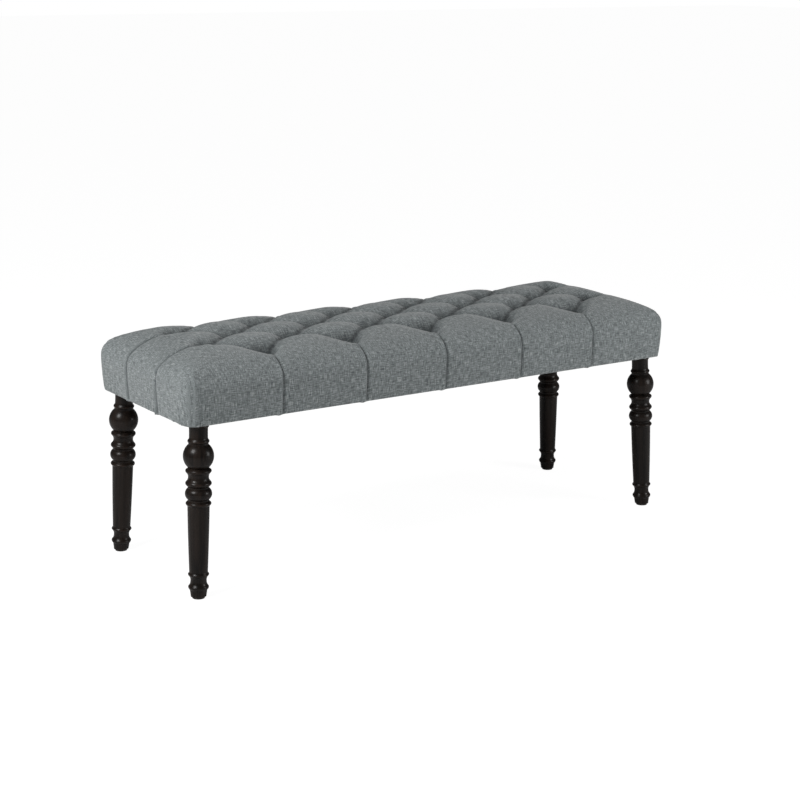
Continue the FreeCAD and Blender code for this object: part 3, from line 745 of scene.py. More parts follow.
@dataclass
class Seat:
    """The padded seat: a crowned block, tufted in diamonds, with pleats that run down its sides."""

    low: Vector = field(default_factory=lambda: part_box("seat_cover")[0])
    high: Vector = field(default_factory=lambda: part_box("seat_cover")[1])
    corner: float = 24 * MM
    frame_corner: float = 15 * MM
    widest: float = 428 * MM
    crown_run: float = 105 * MM
    crown_power: float = 0.42
    crown_dip: float = 0.06
    draw_in: float = 4 * MM
    draw_power: float = 2.2
    end_field: float = 115.85 * MM
    side_field: float = 72.8 * MM
    pitch_count: int = 5
    swell: float = 1 * MM
    tuft_depth: float = 38 * MM
    fold_depth: float = 12 * MM
    seam_depth: float = 1.5 * MM
    seam_width: float = 13 * MM
    seam_runs: Triple = (40 * MM, 45 * MM, 10 * MM)
    puff_power: float = 2.8
    seam_power: float = 2.4
    side_swell: float = 0.5 * MM
    lip: float = 3.5 * MM
    lip_height: float = 15 * MM
    lip_band: Pair = (6 * MM, 20 * MM)
    top_band: Pair = (8 * MM, 40 * MM)
    side_band: Pair = (30 * MM, 70 * MM)
    # Painted shade in the tuft pits: the band over which it fades in from the edge, and the depths below the
    # crown over which it grows.
    pit_band: Pair = (20 * MM, 45 * MM)
    pit_shade: Pair = (3 * MM, 26 * MM)
    pit_floor: float = 8 * MM
    pit_fall: float = 19 * MM
    border_fall: float = 11 * MM
    corner_slack: float = 0.8 * MM
    side_slack: float = 2.6 * MM
    pit_stretch: float = 1.3
    tuck: float = 30 * MM
    cuts: tuple[int, int, int] = (119, 59, 13)
    voxel: float = 5 * MM
    swelling: Swelling = Swelling()

    def __post_init__(self) -> None:
        """Work out the tuft spacing and the reach of a puff."""
        self.half_length = self.high.x - self.side_swell
        self.half_depth = self.high.y - self.side_swell
        self.step_x = (self.high.x - self.end_field) / self.pitch_count
        self.step_y = (self.high.y - self.side_field) / 2
        self.reach = self.step_x * self.step_y / math.hypot(self.step_x, self.step_y)

    def tufts(self) -> list[tuple[int, int]]:
        """Columns and rows of the tufts, counted in steps from the middle."""
        columns = range(-self.pitch_count, self.pitch_count + 1)
        return [(i, j) for i in columns for j in range(-2, 3) if (i + j) % 2 == 0]

    def plan(self, i: float, j: float) -> Pair:
        """Plan place of a column and row."""
        return (i * self.step_x, j * self.step_y)

    def pleats(self) -> list[tuple[Pair, Pair]]:
        """Plan ends of the pleats between neighbouring tufts.

        Returns:
            The two ends of each.
        """
        places = set(self.tufts())
        lines = []
        for i, j in sorted(places):
            for di, dj in ((1, 1), (1, -1)):
                if (i + di, j + dj) in places:
                    lines.append((self.plan(i, j), self.plan(i + di, j + dj)))
        return lines

    def seams(self) -> list[tuple[Pair, Pair]]:
        """Plan ends of the pleats that run out over the edges: from the outer rows and from the ends.

        Returns:
            The two ends of each, the outer one last.
        """
        lines = []
        far = 2 * self.half_length
        for i, j in self.tufts():
            x, y = self.plan(i, j)
            if abs(j) == 2:
                lines.append(((x, y), (x, math.copysign(far, y))))
            if abs(i) == self.pitch_count:
                lines.append(((x, y), (math.copysign(far, x), y)))
        return lines

    def past_corner(self, x: Array, y: Array) -> tuple[Array, Array]:
        """How far plan places lie past the centres of the rounded corners, along X and Y."""
        return np.abs(x) - (self.half_length - self.corner), np.abs(y) - (self.half_depth - self.corner)

    def edge_distance(self, x: Array, y: Array) -> Array:
        """Distance in plan from the widest outline.

        Args:
            x: Places along X.
            y: Places along Y.

        Returns:
            The distance, positive inside.
        """
        dx, dy = self.past_corner(x, y)
        outside = np.hypot(np.maximum(dx, 0.0), np.maximum(dy, 0.0))
        return self.corner - outside - np.minimum(np.maximum(dx, dy), 0.0)

    def crown(self, distance: Array) -> Array:
        """Height of the untufted crown.

        Args:
            distance: How far in from the outline.

        Returns:
            The height.
        """
        share = np.clip(distance / self.crown_run, 0.0, 1.0)
        rise = share ** self.crown_power
        eased = rise - self.crown_dip * smoothstep(0.5, 1.0, share) * (1 - share)
        return self.widest + (self.high.z - self.swell - self.widest) * eased

    def draw(self, level: Array) -> Array:
        """How far the side is drawn in at a height below the widest level."""
        share = np.clip((self.widest - level) / (self.widest - self.low.z), 0.0, 1.0)
        return self.draw_in * share ** self.draw_power

    def block(self) -> Item:
        """Crowned block with drawn-in sides, before tufting.

        Returns:
            The object, remeshed to an even grid.
        """
        form = bmesh.new()
        bmesh.ops.create_cube(form, size=2.0)
        for axis, cuts in enumerate(self.cuts):
            edges = []
            for edge in form.edges:
                along = edge.verts[1].co - edge.verts[0].co
                if abs(along[axis]) > max(abs(along[other]) for other in range(3) if other != axis):
                    edges.append(edge)
            bmesh.ops.subdivide_edges(form, edges=edges, cuts=cuts, use_grid_fill=True)
        mesh = mesh_from("seat_block", form)
        unit = coordinates(mesh)
        x = self.half_length * np.sin(unit[:, 0] * math.pi / 2)
        y = self.half_depth * np.sin(unit[:, 1] * math.pi / 2)
        on_top = unit[:, 2] > 1 - 1e-6
        over_x, over_y = self.past_corner(x, y)
        reach = np.hypot(over_x, over_y)
        outside = (over_x > 0) & (over_y > 0) & (reach > self.corner)
        pull = np.where(outside, self.corner / np.maximum(reach, 1e-9), 1.0)
        x = np.where(outside, np.sign(x) * (self.half_length - self.corner + over_x * pull), x)
        y = np.where(outside, np.sign(y) * (self.half_depth - self.corner + over_y * pull), y)
        level = self.low.z + (self.widest - self.low.z) * (unit[:, 2] + 1) / 2
        height = np.where(on_top, self.crown(self.edge_distance(x, y)), level)
        drawn = np.where(on_top, 0.0, self.draw(level))
        x *= 1 - drawn / self.half_length
        y *= 1 - drawn / self.half_depth
        move_to(mesh, np.stack([x, y, height], axis=1))
        item = new_object("seat_upholstery", mesh)
        remesh = item.modifiers.new("remesh", "REMESH")
        remesh.mode = "VOXEL"
        remesh.voxel_size = self.voxel
        settle(item)
        return item

    @staticmethod
    def line_distance(x: Array, y: Array, line: tuple[Pair, Pair]) -> tuple[Array, Array]:
        """Distance from a line between two plan points, and the signed offset to its left.

        Args:
            x: Places along X.
            y: Places along Y.
            line: The two ends.

        Returns:
            The distance and the offset. Left of a seam is right as seen from outside the bench.
        """
        (ax, ay), (bx, by) = line
        length = math.hypot(bx - ax, by - ay)
        ux, uy = (bx - ax) / length, (by - ay) / length
        along = np.clip((x - ax) * ux + (y - ay) * uy, 0.0, length)
        offset = (y - ay) * ux - (x - ax) * uy
        return np.hypot(x - ax - along * ux, y - ay - along * uy), offset

    def tuft_distance(self, x: Array, y: Array, stretch: float = 1.0) -> Array:
        """Distance in plan from the nearest tuft.

        Args:
            x: Places along X.
            y: Places along Y.
            stretch: What distances along X are divided by.

        Returns:
            The distance.
        """
        near = np.full_like(x, np.inf)
        for i, j in self.tufts():
            cx, cy = self.plan(i, j)
            near = np.minimum(near, np.hypot((x - cx) / stretch, y - cy))
        return near

    def outward(self, x: Array, y: Array) -> Array:
        """How far a plan place lies beyond the tufted field.

        Args:
            x: Places along X.
            y: Places along Y.

        Returns:
            The distance, 0 inside the field.
        """
        beyond_x = np.abs(x) - self.pitch_count * self.step_x
        beyond_y = np.abs(y) - 2 * self.step_y
        return np.maximum(np.maximum(beyond_x, beyond_y), 0.0)

    def tufted_depth(self, x: Array, y: Array) -> Array:
        """Depth of the tufting below the crown: diamond puffs, pits at the tufts, pleats out to the edges.

        Args:
            x: Places along X.
            y: Places along Y.

        Returns:
            The depth.
        """
        out = self.outward(x, y)
        narrowed, flattened, steepened = (smoothstep(0.0, run, out) for run in self.seam_runs)
        width = mix(self.reach, self.seam_width, narrowed)
        untouched = np.ones_like(x)
        for line in self.pleats():
            distance, _ = self.line_distance(x, y, line)
            untouched *= 1 - np.clip(1 - distance / self.reach, 0.0, 1.0) ** self.puff_power
        for line in self.seams():
            distance, _ = self.line_distance(x, y, line)
            untouched *= 1 - np.clip(1 - distance / width, 0.0, 1.0) ** self.seam_power
        folds = 1 - untouched
        amount = mix(self.fold_depth, self.seam_depth, flattened)
        near = self.tuft_distance(x, y, self.pit_stretch)
        fall = mix(self.pit_fall, self.border_fall, steepened)
        pit = np.exp(-np.maximum(near - self.pit_floor, 0.0) / fall)
        return folds * (amount + (self.tuft_depth - amount) * pit)

    def inward(self, mesh: Mesh) -> Array:
        """Direction in which each vertex sinks: down on the top, across on the sides.

        Args:
            mesh: The seat's mesh.

        Returns:
            One unit vector for each vertex.
        """
        directions = -normals(mesh)
        places = coordinates(mesh)
        top = smoothstep(*self.top_band, self.edge_distance(places[:, 0], places[:, 1]))
        top = np.where(places[:, 2] > self.widest - 5 * MM, top, 0.0)
        down = np.array([0.0, 0.0, -1.0])
        blended = directions * (1 - top[:, None]) + down * top[:, None]
        return blended / np.linalg.norm(blended, axis=1)[:, None]

    def tuft(self, mesh: Mesh) -> None:
        """Sink the tufts and pleats into the block.

        Args:
            mesh: The block's mesh.
        """
        places = coordinates(mesh)
        depth = self.tufted_depth(places[:, 0], places[:, 1])
        depth[places[:, 2] < self.low.z + 4 * MM] = 0.0
        move_to(mesh, places + self.inward(mesh) * depth[:, None])

    def hold(self, places: Array) -> Array:
        """How firmly the tufts, the lower edge and the pleats hold the cloth.

        Args:
            places: Places on the cloth, one row each.

        Returns:
            Shares from 0, free, to 1, fixed.
        """
        x, y, z = places.T
        swelling = self.swelling
        by_tufts = 1 - smoothstep(*swelling.tuft_hold, self.tuft_distance(x, y))
        held = np.maximum(by_tufts, 1 - smoothstep(*swelling.edge_hold, z - self.low.z))
        for line in self.pleats() + self.seams():
            distance, _ = self.line_distance(x, y, line)
            by_pleat = 1 - smoothstep(*swelling.pleat_hold, distance)
            held = np.maximum(held, swelling.pleat_hold_share * by_pleat)
        return held

    def inflate(self, item: Item) -> None:
        """Let the cloth swell between its tufts and pleats, and keep the result.

        Args:
            item: The seat, tufted.
        """
        swelling = self.swelling
        start = coordinates(item.data)
        levels = np.round(self.hold(start) * swelling.hold_levels)
        group = item.vertex_groups.new(name="held")
        for level in range(swelling.hold_levels + 1):
            chosen = np.nonzero(levels == level)[0]
            group.add(chosen.tolist(), level / swelling.hold_levels, "REPLACE")
        cloth = item.modifiers.new("cloth", "CLOTH")
        settings = cloth.settings
        settings.vertex_group_mass = group.name
        settings.pin_stiffness = 1.0
        settings.quality = swelling.quality
        settings.mass = swelling.mass
        settings.tension_stiffness = swelling.tension
        settings.compression_stiffness = swelling.tension
        settings.shear_stiffness = swelling.shear
        settings.bending_stiffness = swelling.bending
        settings.use_pressure = True
        settings.uniform_pressure_force = swelling.pressure
        settings.effector_weights.gravity = 0.0
        cloth.collision_settings.use_collision = False
        scene = bpy.context.scene
        for span in (scene, cloth.point_cache):
            span.frame_start = 1
            span.frame_end = swelling.frames
        for number in range(1, swelling.frames + 1):
            scene.frame_set(number)
        swollen = coordinates(settle(item))
        scene.frame_set(1)
        item.vertex_groups.clear()
        moved = swollen - start
        far = np.linalg.norm(moved, axis=1)
        rising = smoothstep(self.widest, self.widest + 30 * MM, start[:, 2])
        limit = mix(self.side_swell, swelling.cap, rising)
        moved *= np.minimum(1.0, limit / np.maximum(far, 1e-9))[:, None]
        log.info("seat cloth moved %.1f mm on average, %.1f mm at most", far.mean() / MM, far.max() / MM)
        move_to(item.data, start + moved)

    def refine(self, item: Item) -> None:
        """Give the whole cloth one subdivision.

        Args:
            item: The seat.
        """
        finer = item.modifiers.new("finer", "SUBSURF")
        finer.levels = 1
        finer.render_levels = 1
        settle(item)

    def fold(self, mesh: Mesh) -> None:
        """Lap one side of each pleat over the other, and add every smaller fold.

        Args:
            mesh: The seat's fine mesh.
        """
        places = coordinates(mesh)
        x, y, z = places.T
        inward = self.inward(mesh)
        depth = self.corner_folds(x, y, z) + self.puckers(x, y, z)
        for line in self.pleats():
            distance, offset = self.line_distance(x, y, line)
            depth += PLEAT_GAP.at(distance) - PLEAT_LAP.at(offset) * (distance < PLEAT_REACH)
        for line in self.seams():
            distance, side = self.line_distance(x, y, line)
            depth += (distance < SEAM_REACH) * (SEAM_GAP.at(side) - SEAM_LAP.at(side))
        for number, (i, j) in enumerate(self.tufts()):
            cx, cy = self.plan(i, j)
            radius = np.hypot(x - cx, y - cy)
            angle = np.arctan2(y - cy, x - cx)
            wave = np.cos(8 * angle + 1.3 * number + 24 * radius) + 0.5 * np.cos(13 * angle + 2.1 * number)
            depth += TUFT_GATHER.at(radius) * wave
        past_x, past_y = self.past_corner(x, y)
        slack = np.where((past_x > 0) & (past_y > 0), self.corner_slack, self.side_slack)
        depth = np.where(z < self.widest, np.minimum(depth, slack), depth)
        depth[z < self.low.z + 3 * MM] = 0.0
        moved = places + inward * depth[:, None]
        moved[:, 2] -= self.hang(x, y, z)
        move_to(mesh, moved)

    def hang(self, x: Array, y: Array, z: Array) -> Array:
        """How far the lower edge hangs below the frame: a soft lip, fuller where a pleat ends in it.

        Args:
            x: Places along X.
            y: Places along Y.
            z: Heights.

        Returns:
            The drop.
        """
        edge = 1 - smoothstep(0.0, self.lip_height, z - self.low.z)
        outer = 1 - smoothstep(*self.lip_band, self.edge_distance(x, y))
        full = np.zeros_like(x)
        for line in self.seams():
            distance, side = self.line_distance(x, y, line)
            full = np.maximum(full, HANGING_LAP.at(side) * (distance < HANGING_REACH))
        return edge * outer * (self.lip + full)

    def corner_folds(self, x: Array, y: Array, z: Array) -> Array:
        """Depth of the upright folds that take up the cloth at each corner.

        Args:
            x: Places along X.
            y: Places along Y.
            z: Heights.

        Returns:
            The depth.
        """
        shown = 1 - smoothstep(*CORNER_TOP, z - self.widest)
        on_long = self.past_corner(x, y)[1] > 0
        depth = np.zeros_like(x)
        for inset, sharpness in CORNER_FOLDS:
            side = np.abs(x) - (self.half_length - inset)
            depth += sharpness * (CORNER_GAP.at(side) - CORNER_LAP.at(side))
        return depth * shown * on_long

    def puckers(self, x: Array, y: Array, z: Array) -> Array:
        """Depth of the small upright gathers along the lower edge, stronger on the ends and by the legs.

        Args:
            x: Places along X.
            y: Places along Y.
            z: Heights.

        Returns:
            The depth.
        """
        edge = np.exp(-np.maximum(z - self.low.z, 0.0) / PUCKER_FADE) * (z < self.widest)
        on_end = self.past_corner(x, y)[0] > 0
        along = np.where(on_end, y, x)
        legs_near = LEG_PUCKER.at(np.abs(along) - np.where(on_end, LEG_ALONG_END, LEG_ALONG_SIDE))
        patchy = 0.5 + 0.5 * wandering_wave(along, 31.0, 2.0, 13.0)
        wave = wandering_wave(along, 420.0, 3.0, 47.0) + 0.6 * np.cos(along * 690.0 + 1.7)
        strength = np.where(on_end, END_PUCKER, SIDE_PUCKER) * patchy + legs_near
        return MM * strength * edge * wave

    def shade_creases(self, mesh: Mesh) -> None:
        """Store painted shade for each point: dark along the pleats and seams, and deeper down in the pits.

        Args:
            mesh: The seat's mesh.
        """
        x, y, z = coordinates(mesh).T
        shade = np.zeros_like(x)
        for line in self.pleats():
            distance, _ = self.line_distance(x, y, line)
            shade = np.maximum(shade, PLEAT_SHADE.at(distance))
        for line in self.seams():
            distance, side = self.line_distance(x, y, line)
            shade = np.maximum(shade, SEAM_SHADE.at(side) * (distance < SEAM_SHADE_REACH))
        # Painted shade in the pits, darker the deeper the cloth lies below its crown.
        edge = self.edge_distance(x, y)
        inside = smoothstep(*self.pit_band, edge)
        shade = np.maximum(shade, inside * smoothstep(*self.pit_shade, self.crown(edge) - z))
        shade *= z > self.low.z + 2 * MM
        layer = mesh.attributes.new("painted_crease_shade", "FLOAT", "POINT")
        layer.data.foreach_set("value", shade.astype(np.float32))

    def cloth_map(self, mesh: Mesh) -> None:
        """Lay the weave over the seat: square on the top, and straight down each side.

        Args:
            mesh: The seat's mesh.
        """
        x, y, z = coordinates(mesh).T
        across = normals(mesh)
        lean = np.clip((np.abs(across[:, 0]) - np.abs(across[:, 1])) * 2 + 0.5, 0.0, 1.0)
        edge = 1 - smoothstep(*self.side_band, self.edge_distance(x, y))
        drop = (self.high.z - z) * edge
        places = [x + np.sign(x) * drop * lean, y + np.sign(y) * drop * (1 - lean)]
        map_cloth(mesh, np.stack(places, axis=1))

    def hollow(self, item: Item) -> None:
        """Open the underside, so that the cover wraps the frame and is tucked under it.

        Args:
            item: The seat.
        """
        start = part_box("front_rail")[0]
        end = Vector((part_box("front_rail")[1].x, -start.y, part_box("seat_deck")[1].z))
        tuck = Vector((self.tuck, self.tuck, 0.0))
        past = Vector((0.0, 0.0, 5 * MM))
        opening_start = Vector((start.x, start.y, self.low.z)) + tuck - past
        for number, (low, high) in enumerate(((start, end), (opening_start, end - tuck - past))):
            form = bmesh.new()
            place = Matrix.Translation((low + high) / 2) @ Matrix.Diagonal((*(high - low), 1.0))
            bmesh.ops.create_cube(form, size=1.0, matrix=place)
            upright = []
            for edge in form.edges:
                if abs((edge.verts[0].co - edge.verts[1].co).normalized().z) > 0.9:
                    upright.append(edge)
            round_edges(form, upright, self.frame_corner, 6)
            cutter = new_object(f"hollow_cutter_{number}", mesh_from(f"hollow_cutter_{number}", form))
            carve = item.modifiers.new("carve", "BOOLEAN")
            carve.operation = "DIFFERENCE"
            carve.solver = "MANIFOLD"
            carve.object = cutter
            settle(item)
            bpy.data.objects.remove(cutter)

    def build(self) -> None:
        item = self.block()
        self.tuft(item.data)
        self.inflate(item)
        self.refine(item)
        self.fold(item.data)
        self.hollow(item)
        self.cloth_map(item.data)
        self.shade_creases(item.data)
        smooth(item.data, math.radians(60))
        dress(item, LINEN.material())
        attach(item, ROOT)
        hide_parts("seat_cover", "foam_pad")
        report(item)


@dataclass
class Buttons:
    """Cloth covered buttons that hold the tufts down."""

    seat: Seat
    radius: float = 9.5 * MM
    rise: float = 4.5 * MM
    hem: float = 2.0 * MM
    hem_share: float = 0.9
    rings: int = 7
    sides: int = 28

    def build(self) -> None:
        """Build the domed buttons at the bottom of the tufts."""
        low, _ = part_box("tuft_buttons")
        profile = [(0.0, -self.hem), (self.radius * self.hem_share, -self.hem)]
        for ring in range(self.rings + 1):
            turn = math.pi / 2 * ring / self.rings
            profile.append((self.radius * math.cos(turn), self.rise * math.sin(turn)))
        form = bmesh.new()
        for i, j in self.seat.tufts():
            before = set(form.verts)
            points = [form.verts.new((radius, 0.0, height)) for radius, height in profile]
            turn_profile(form, points, self.sides)
            made = [vert for vert in form.verts if vert not in before]
            bmesh.ops.translate(form, verts=made, vec=(*self.seat.plan(i, j), low.z))
        bmesh.ops.remove_doubles(form, verts=form.verts, dist=0.01 * MM)
        bmesh.ops.recalc_face_normals(form, faces=form.faces)
        mesh = mesh_from("tuft_button_covers", form)
        map_cloth(mesh, coordinates(mesh)[:, :2])
        smooth(mesh)
        item = new_object("tuft_button_covers", mesh)
        dress(item, bpy.data.materials[LINEN.name])
        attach(item, ROOT)
        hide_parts("tuft_buttons")
        report(item)


class Cut(Enum):
    """Shapes that a turning tool leaves between two marks."""

    STRAIGHT = 0
    BEAD = 1
    COVE = -1


@dataclass(frozen=True)
class Mark:
    """Mark on the turning: height over the floor and radius in millimetres, and the cut that ends there."""

    height: float
    radius: float
    cut: Cut = Cut.STRAIGHT
    sag: float = 0.0


TURNING = (
    Mark(-2.0, 15.4),
    Mark(6.0, 15.8),
    Mark(17.2, 17.4),
    Mark(21.0, 20.2, Cut.BEAD, 0.4),
    Mark(24.6, 20.3, Cut.BEAD, 0.4),
    Mark(35.0, 16.2, Cut.COVE, 1.1),
    Mark(46.3, 19.6, Cut.COVE, 1.3),
    Mark(51.2, 19.6, Cut.BEAD, 1.4),
    Mark(53.2, 18.6),
    Mark(188.0, 21.9, Cut.BEAD, 0.3),
    Mark(190.2, 24.0),
    Mark(195.8, 24.0, Cut.BEAD, 1.4),
    Mark(198.6, 21.0),
    Mark(201.0, 21.0),
    Mark(224.2, 20.9, Cut.BEAD, 5.8),
    Mark(226.4, 20.9),
    Mark(230.0, 24.4),
    Mark(237.0, 24.4, Cut.BEAD, 1.6),
    Mark(255.8, 24.8, Cut.COVE, 4.2),
    Mark(261.2, 24.9, Cut.BEAD, 1.0),
    Mark(264.6, 19.8),
    Mark(311.4, 19.8, Cut.BEAD, 10.7),
    Mark(314.4, 19.6),
    Mark(321.2, 19.6, Cut.BEAD, 2.0),
    Mark(323.6, 18.7),
    Mark(345.4, 18.8, Cut.COVE, 0.3),
    Mark(351.6, 18.9, Cut.BEAD, 2.0),
    Mark(354.0, 19.2),
    Mark(362.0, 19.2),
)


@dataclass
class Legs:
    """Four turned legs, splayed outwards and cut level at both ends; arc_step is in millimetres."""

    inset_x: float = 43.0 * MM
    inset_y: float = 37.8 * MM
    splay_x: float = math.radians(2.18)
    splay_y: float = math.radians(1.76)
    sides: int = 72
    arc_step: float = 2.2
    grain_apart: Pair = (0.31, 0.47)

    def outline(self) -> list[Pair]:
        """Profile of the turning, with beads and coves as arcs.

        Returns:
            Its points from the floor up, each a radius and a height in metres.
        """
        points = [(TURNING[0].radius, TURNING[0].height)]
        for before, mark in zip(TURNING, TURNING[1:]):
            start = Vector((before.radius, before.height))
            end = Vector((mark.radius, mark.height))
            chord = end - start
            if mark.cut is Cut.STRAIGHT:
                points.append(tuple(end))
                continue
            radius = (chord.length ** 2 / 4 + mark.sag ** 2) / (2 * mark.sag)
            half = math.asin(min(1.0, chord.length / 2 / radius))
            out = Vector((chord.y, -chord.x)).normalized() * mark.cut.value
            centre = (start + end) / 2 - out * (radius - mark.sag)
            steps = max(4, int(half * radius * 2 / self.arc_step))
            for step in range(1, steps + 1):
                turn = -half + 2 * half * step / steps
                across = out * radius * math.cos(turn)
                points.append(tuple(centre + across + chord.normalized() * radius * math.sin(turn)))
        return [(radius * MM, height * MM) for radius, height in points]

    def leg(self, name: str, x_sign: int, y_sign: int) -> Item:
        """Turn one leg and cut both its ends level.

        Args:
            name: The node that it stands for.
            x_sign: Which end of the bench.
            y_sign: Which side of the bench.

        Returns:
            The leg.
        """
        seat_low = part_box("seat_cover")[0]
        glide_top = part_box("foot_glides")[1].z
        form = bmesh.new()
        points = [form.verts.new((radius, 0.0, height)) for radius, height in self.outline()]
        turn_profile(form, points, self.sides)
        bmesh.ops.remove_doubles(form, verts=form.verts, dist=0.001 * MM)
        local = form.verts.layers.float_vector.new("turning")
        apart = Vector((x_sign * self.grain_apart[0], y_sign * self.grain_apart[1], 0.0))
        for vert in form.verts:
            vert[local] = vert.co + apart
        upward = Vector((-x_sign * math.tan(self.splay_x), -y_sign * math.tan(self.splay_y), 1.0))
        turn = Vector((0, 0, 1)).rotation_difference(upward).to_matrix().to_4x4()
        out_x = -seat_low.x - self.inset_x
        out_y = -seat_low.y - self.inset_y
        place = Matrix.Translation((x_sign * out_x, y_sign * out_y, seat_low.z)) @ turn
        stretch = Matrix.Diagonal((1, 1, upward.length, 1)) @ Matrix.Translation((0, 0, -seat_low.z))
        bmesh.ops.transform(form, matrix=place @ stretch, verts=form.verts)
        cut_away(form, (0, 0, seat_low.z), (0, 0, 1))
        cut_away(form, (0, 0, glide_top), (0, 0, -1))
        bmesh.ops.holes_fill(form, edges=form.edges[:], sides=0)
        bmesh.ops.recalc_face_normals(form, faces=form.faces)
        mesh = mesh_from(name, form)
        smooth(mesh, math.radians(32))
        return new_object(f"{name}_turned", mesh)

    def build(self) -> None:
        """Build and dress the legs."""
        finish = ESPRESSO.material()
        for name, x_sign, y_sign in (("front_left_leg", -1, -1), ("front_right_leg", 1, -1),
                                     ("back_left_leg", -1, 1), ("back_right_leg", 1, 1)):
            item = self.leg(name, x_sign, y_sign)
            dress(item, finish)
            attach(item, ROOT)
            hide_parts(name)
            report(item)


QUARTERS = ((1, 1), (-1, 1), (-1, -1), (1, -1))


@dataclass
class Underside:
    """The stretched dust cover, clipped round the legs, and the staples along its edge."""

    clip: float = 95 * MM
    sag: float = 2.5 * MM
    ripple: float = 0.3 * MM
    ripple_rates: Pair = (95.0, 60.0)
    thickness: float = 0.5 * MM
    staple_pitch: float = 45 * MM
    staple_inset: float = 7 * MM
    crown: float = 10 * MM
    wire: float = 0.9 * MM

    def outline(self, inset: float) -> list[Vector]:
        """Corners of the cover's outline in order, moved inwards.

        Args:
            inset: How far inside the edge they lie.

        Returns:
            Eight plan corners.
        """
        _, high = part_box("dust_cover")
        x, y = high.x - inset, high.y - inset
        clip = self.clip - inset * (2 - math.sqrt(2))
        quarter = [(x, y - clip), (x - clip, y)]
        corners = []
        for sx, sy in QUARTERS:
            pair = quarter if sx * sy > 0 else quarter[::-1]
            corners += [Vector((sx * a, sy * b, 0.0)) for a, b in pair]
        return corners

    def cloth(self) -> None:
        """Build the cover as a thin sheet that sags a little between its edges."""
        _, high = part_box("dust_cover")
        form = bmesh.new()
        bmesh.ops.create_grid(form, x_segments=96, y_segments=32, size=1.0,
                              matrix=Matrix.Diagonal((high.x, high.y, 1.0, 1.0)))
        corner = (high.x - self.clip / 2, high.y - self.clip / 2)
        for sx, sy in QUARTERS:
            cut_away(form, (sx * corner[0], sy * corner[1], 0.0), (sx, sy, 0.0))
        for vert in form.verts:
            across = (1 - (vert.co.x / high.x) ** 4) * (1 - (vert.co.y / high.y) ** 2)
            waves = [math.cos(length * rate) for length, rate in zip(vert.co.xy, self.ripple_rates)]
            ripple = self.ripple * waves[0] * waves[1]
            vert.co.z = high.z - self.thickness - across * (self.sag + ripple)
        bmesh.ops.solidify(form, geom=form.faces[:], thickness=self.thickness)
        bmesh.ops.recalc_face_normals(form, faces=form.faces)
        mesh = mesh_from("dust_sheet", form)
        smooth(mesh)
        item = new_object("dust_sheet", mesh)
        dress(item, DUST.material())
        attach(item, ROOT)
        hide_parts("dust_cover")
        report(item)

    def staples(self) -> None:
        """Build the staples' crowns at an even pitch along the cover's edge."""
        low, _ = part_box("dust_cover")
        form = bmesh.new()
        corners = self.outline(self.staple_inset)
        for start, end in zip(corners, corners[1:] + corners[:1]):
            along = (end - start).normalized()
            count = max(1, round((end - start).length / self.staple_pitch))
            for number in range(count):
                centre = start + (end - start) * (number + 0.5) / count
                centre.z = low.z + self.wire * 0.1
                turn = Matrix.Rotation(math.atan2(along.y, along.x), 4, "Z")
                size = Matrix.Diagonal((self.crown, self.wire, self.wire, 1.0))
                made = bmesh.ops.create_cube(form, size=1.0, matrix=Matrix.Translation(centre) @ turn @ size)
                edges = {edge for vert in made["verts"] for edge in vert.link_edges}
                round_edges(form, list(edges), 0.25 * self.wire, 2)
        mesh = mesh_from("dust_cover_staples", form)
        smooth(mesh)
        item = new_object("dust_cover_staples", mesh)
        dress(item, WIRE.material())
        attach(item, ROOT)
        report(item)

    def build(self) -> None:
        """Build the cover and its staples."""
        self.cloth()
        self.staples()


@dataclass
class Frame:
    """Carried pieces of the frame, which keep their shape and get their finish."""

    def build(self) -> None:
        """Dress every carried piece."""
        long_pine = PINE_LONG.material()
        cross_pine = PINE_CROSS.material()
        plated = ZINC.material()
        finishes = {
            "front_rail": long_pine,
            "back_rail": long_pine,
            "left_end_rail": cross_pine,
            "right_end_rail": cross_pine,
            "left_brace": cross_pine,
            "right_brace": cross_pine,
            "front_left_block": cross_pine,
            "front_right_block": cross_pine,
            "back_left_block": cross_pine,
            "back_right_block": cross_pine,
            "seat_deck": Plywood().material(),
            "tuft_ties": TAPE.material(),
            "tie_toggles": TOGGLE.material(),
            "hanger_bolts": plated,
            "leg_inserts": plated,
            "foot_glides": GLIDE.material(),
        }
        for name, material in finishes.items():
            dress(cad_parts[name], material)
        log.info("%d carried pieces dressed", len(finishes))


@dataclass(frozen=True)
class Softbox:
    """A soft square light: its place, its side, its power in watts and what it points at."""

    name: str
    place: Triple
    size: float
    power: float
    target: Triple


SOFTBOXES = (
    Softbox("left_softbox", (-2.8, -0.55, 2.2), 1.1, 83.0, (0.0, 0.0, 0.4)),
    Softbox("right_softbox", (1.7, -1.9, 0.9), 0.9, 26.0, (0.7, 0.0, 0.4)),
)


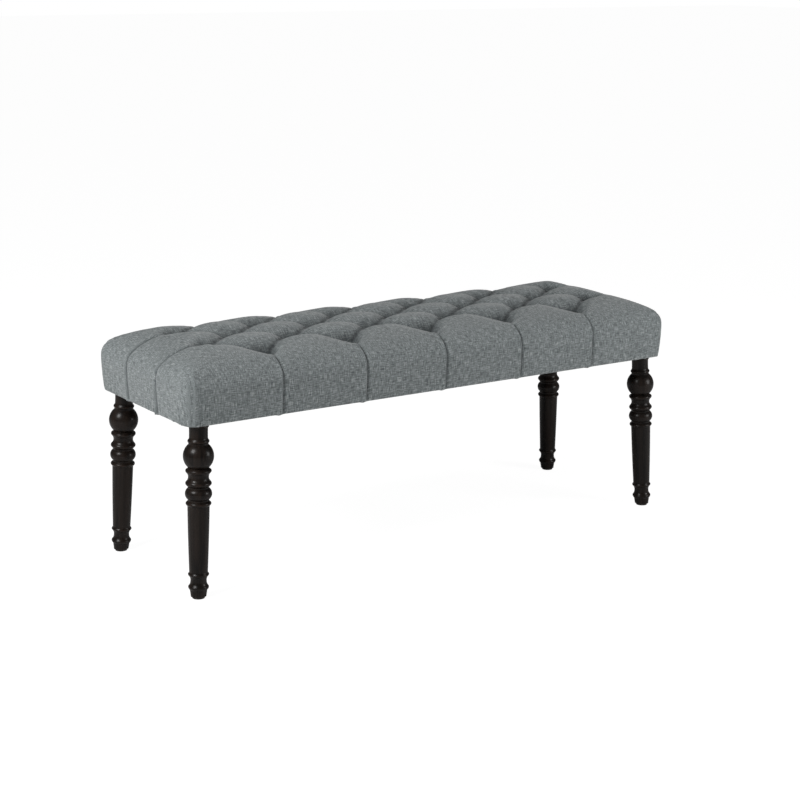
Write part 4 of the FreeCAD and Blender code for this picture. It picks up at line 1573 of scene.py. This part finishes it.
@dataclass
class Studio:
    """Plain pale floor, soft light and the camera at the photograph's place."""

    lens: float = 81.777
    sensor_width: float = 36.0
    azimuth: float = math.radians(-34.051)
    look_down: float = math.radians(13.894)
    roll: float = math.radians(0.385)
    place: Vector = field(default_factory=lambda: Vector((-2.15742, -3.21900, 1.24827)))
    ambient: float = 0.145
    floor_glow: float = 1.22
    floor_share: float = 0.78

    def camera(self) -> None:
        """Set the camera."""
        back = Vector((math.sin(self.azimuth) * math.cos(self.look_down),
                       -math.cos(self.azimuth) * math.cos(self.look_down), math.sin(self.look_down)))
        right = (-back).cross(Vector((0, 0, 1))).normalized()
        up = right.cross(-back)
        turned_right = right * math.cos(self.roll) + up * math.sin(self.roll)
        turned_up = up * math.cos(self.roll) - right * math.sin(self.roll)
        data = bpy.data.cameras.new("camera")
        data.lens = self.lens
        data.sensor_width = self.sensor_width
        item = bpy.data.objects.new("camera", data)
        bpy.context.scene.collection.objects.link(item)
        axes = Matrix((turned_right, turned_up, back)).transposed().to_4x4()
        item.matrix_world = Matrix.Translation(self.place) @ axes
        bpy.context.scene.camera = item

    def light(self, box: Softbox) -> None:
        """Add a soft square light.

        Args:
            box: What it is like and where it stands.
        """
        data = bpy.data.lights.new(box.name, "AREA")
        data.shape = "SQUARE"
        data.size = box.size
        data.energy = box.power
        item = bpy.data.objects.new(box.name, data)
        place = Vector(box.place)
        turn = (place - Vector(box.target)).to_track_quat("Z", "Y").to_matrix().to_4x4()
        item.matrix_world = Matrix.Translation(place) @ turn
        bpy.context.scene.collection.objects.link(item)

    def world(self) -> None:
        """Even light all round, which the camera sees as white."""
        world = bpy.data.worlds.new("studio")
        world.use_nodes = True
        graph = Graph(world.node_tree)
        path = graph.node("ShaderNodeLightPath").outputs
        seen = graph.math("MAXIMUM", path["Is Camera Ray"], path["Is Transmission Ray"])
        strength = graph.part(seen, self.ambient, 1.0)
        graph.fill(world.node_tree.nodes["Background"], {"Color": (1.0, 1.0, 1.0), "Strength": strength})
        bpy.context.scene.world = world

    def floor(self) -> None:
        """Pale floor that keeps a faint shadow."""
        form = bmesh.new()
        bmesh.ops.create_grid(form, x_segments=1, y_segments=1, size=30.0)
        item = new_object("floor", mesh_from("floor", form))
        material, graph, shader = material_graph("pale_floor")
        graph.fill(shader, {"Base Color": (0.9, 0.9, 0.9), "Roughness": 0.9})
        glow = graph.node("ShaderNodeEmission", {"Strength": self.floor_glow})
        path = graph.node("ShaderNodeLightPath")
        share = graph.times(path.outputs["Is Camera Ray"], self.floor_share)
        mixed = graph.node("ShaderNodeMixShader", {0: share, 1: shader.outputs[0], 2: glow.outputs[0]})
        below = graph.node("ShaderNodeNewGeometry").outputs["Backfacing"]
        clear = graph.node("ShaderNodeBsdfTransparent")
        shown = graph.node("ShaderNodeMixShader", {0: below, 1: mixed.outputs[0], 2: clear.outputs[0]})
        output = material.node_tree.nodes["Material Output"]
        graph.feed(output.inputs["Surface"], shown.outputs[0])
        dress(item, material)

    def build(self) -> None:
        """Set up the whole studio."""
        self.camera()
        self.world()
        self.floor()
        for box in SOFTBOXES:
            self.light(box)
        bpy.context.scene.view_settings.view_transform = "Standard"


def main() -> None:
    """Build the bench and its studio, and report each piece."""
    logging.basicConfig(level=logging.INFO, format="%(name)s: %(message)s")
    seat = Seat()
    seat.build()
    Buttons(seat).build()
    Legs().build()
    Underside().build()
    Frame().build()
    Studio().build()


if __name__ == "__main__":
    main()
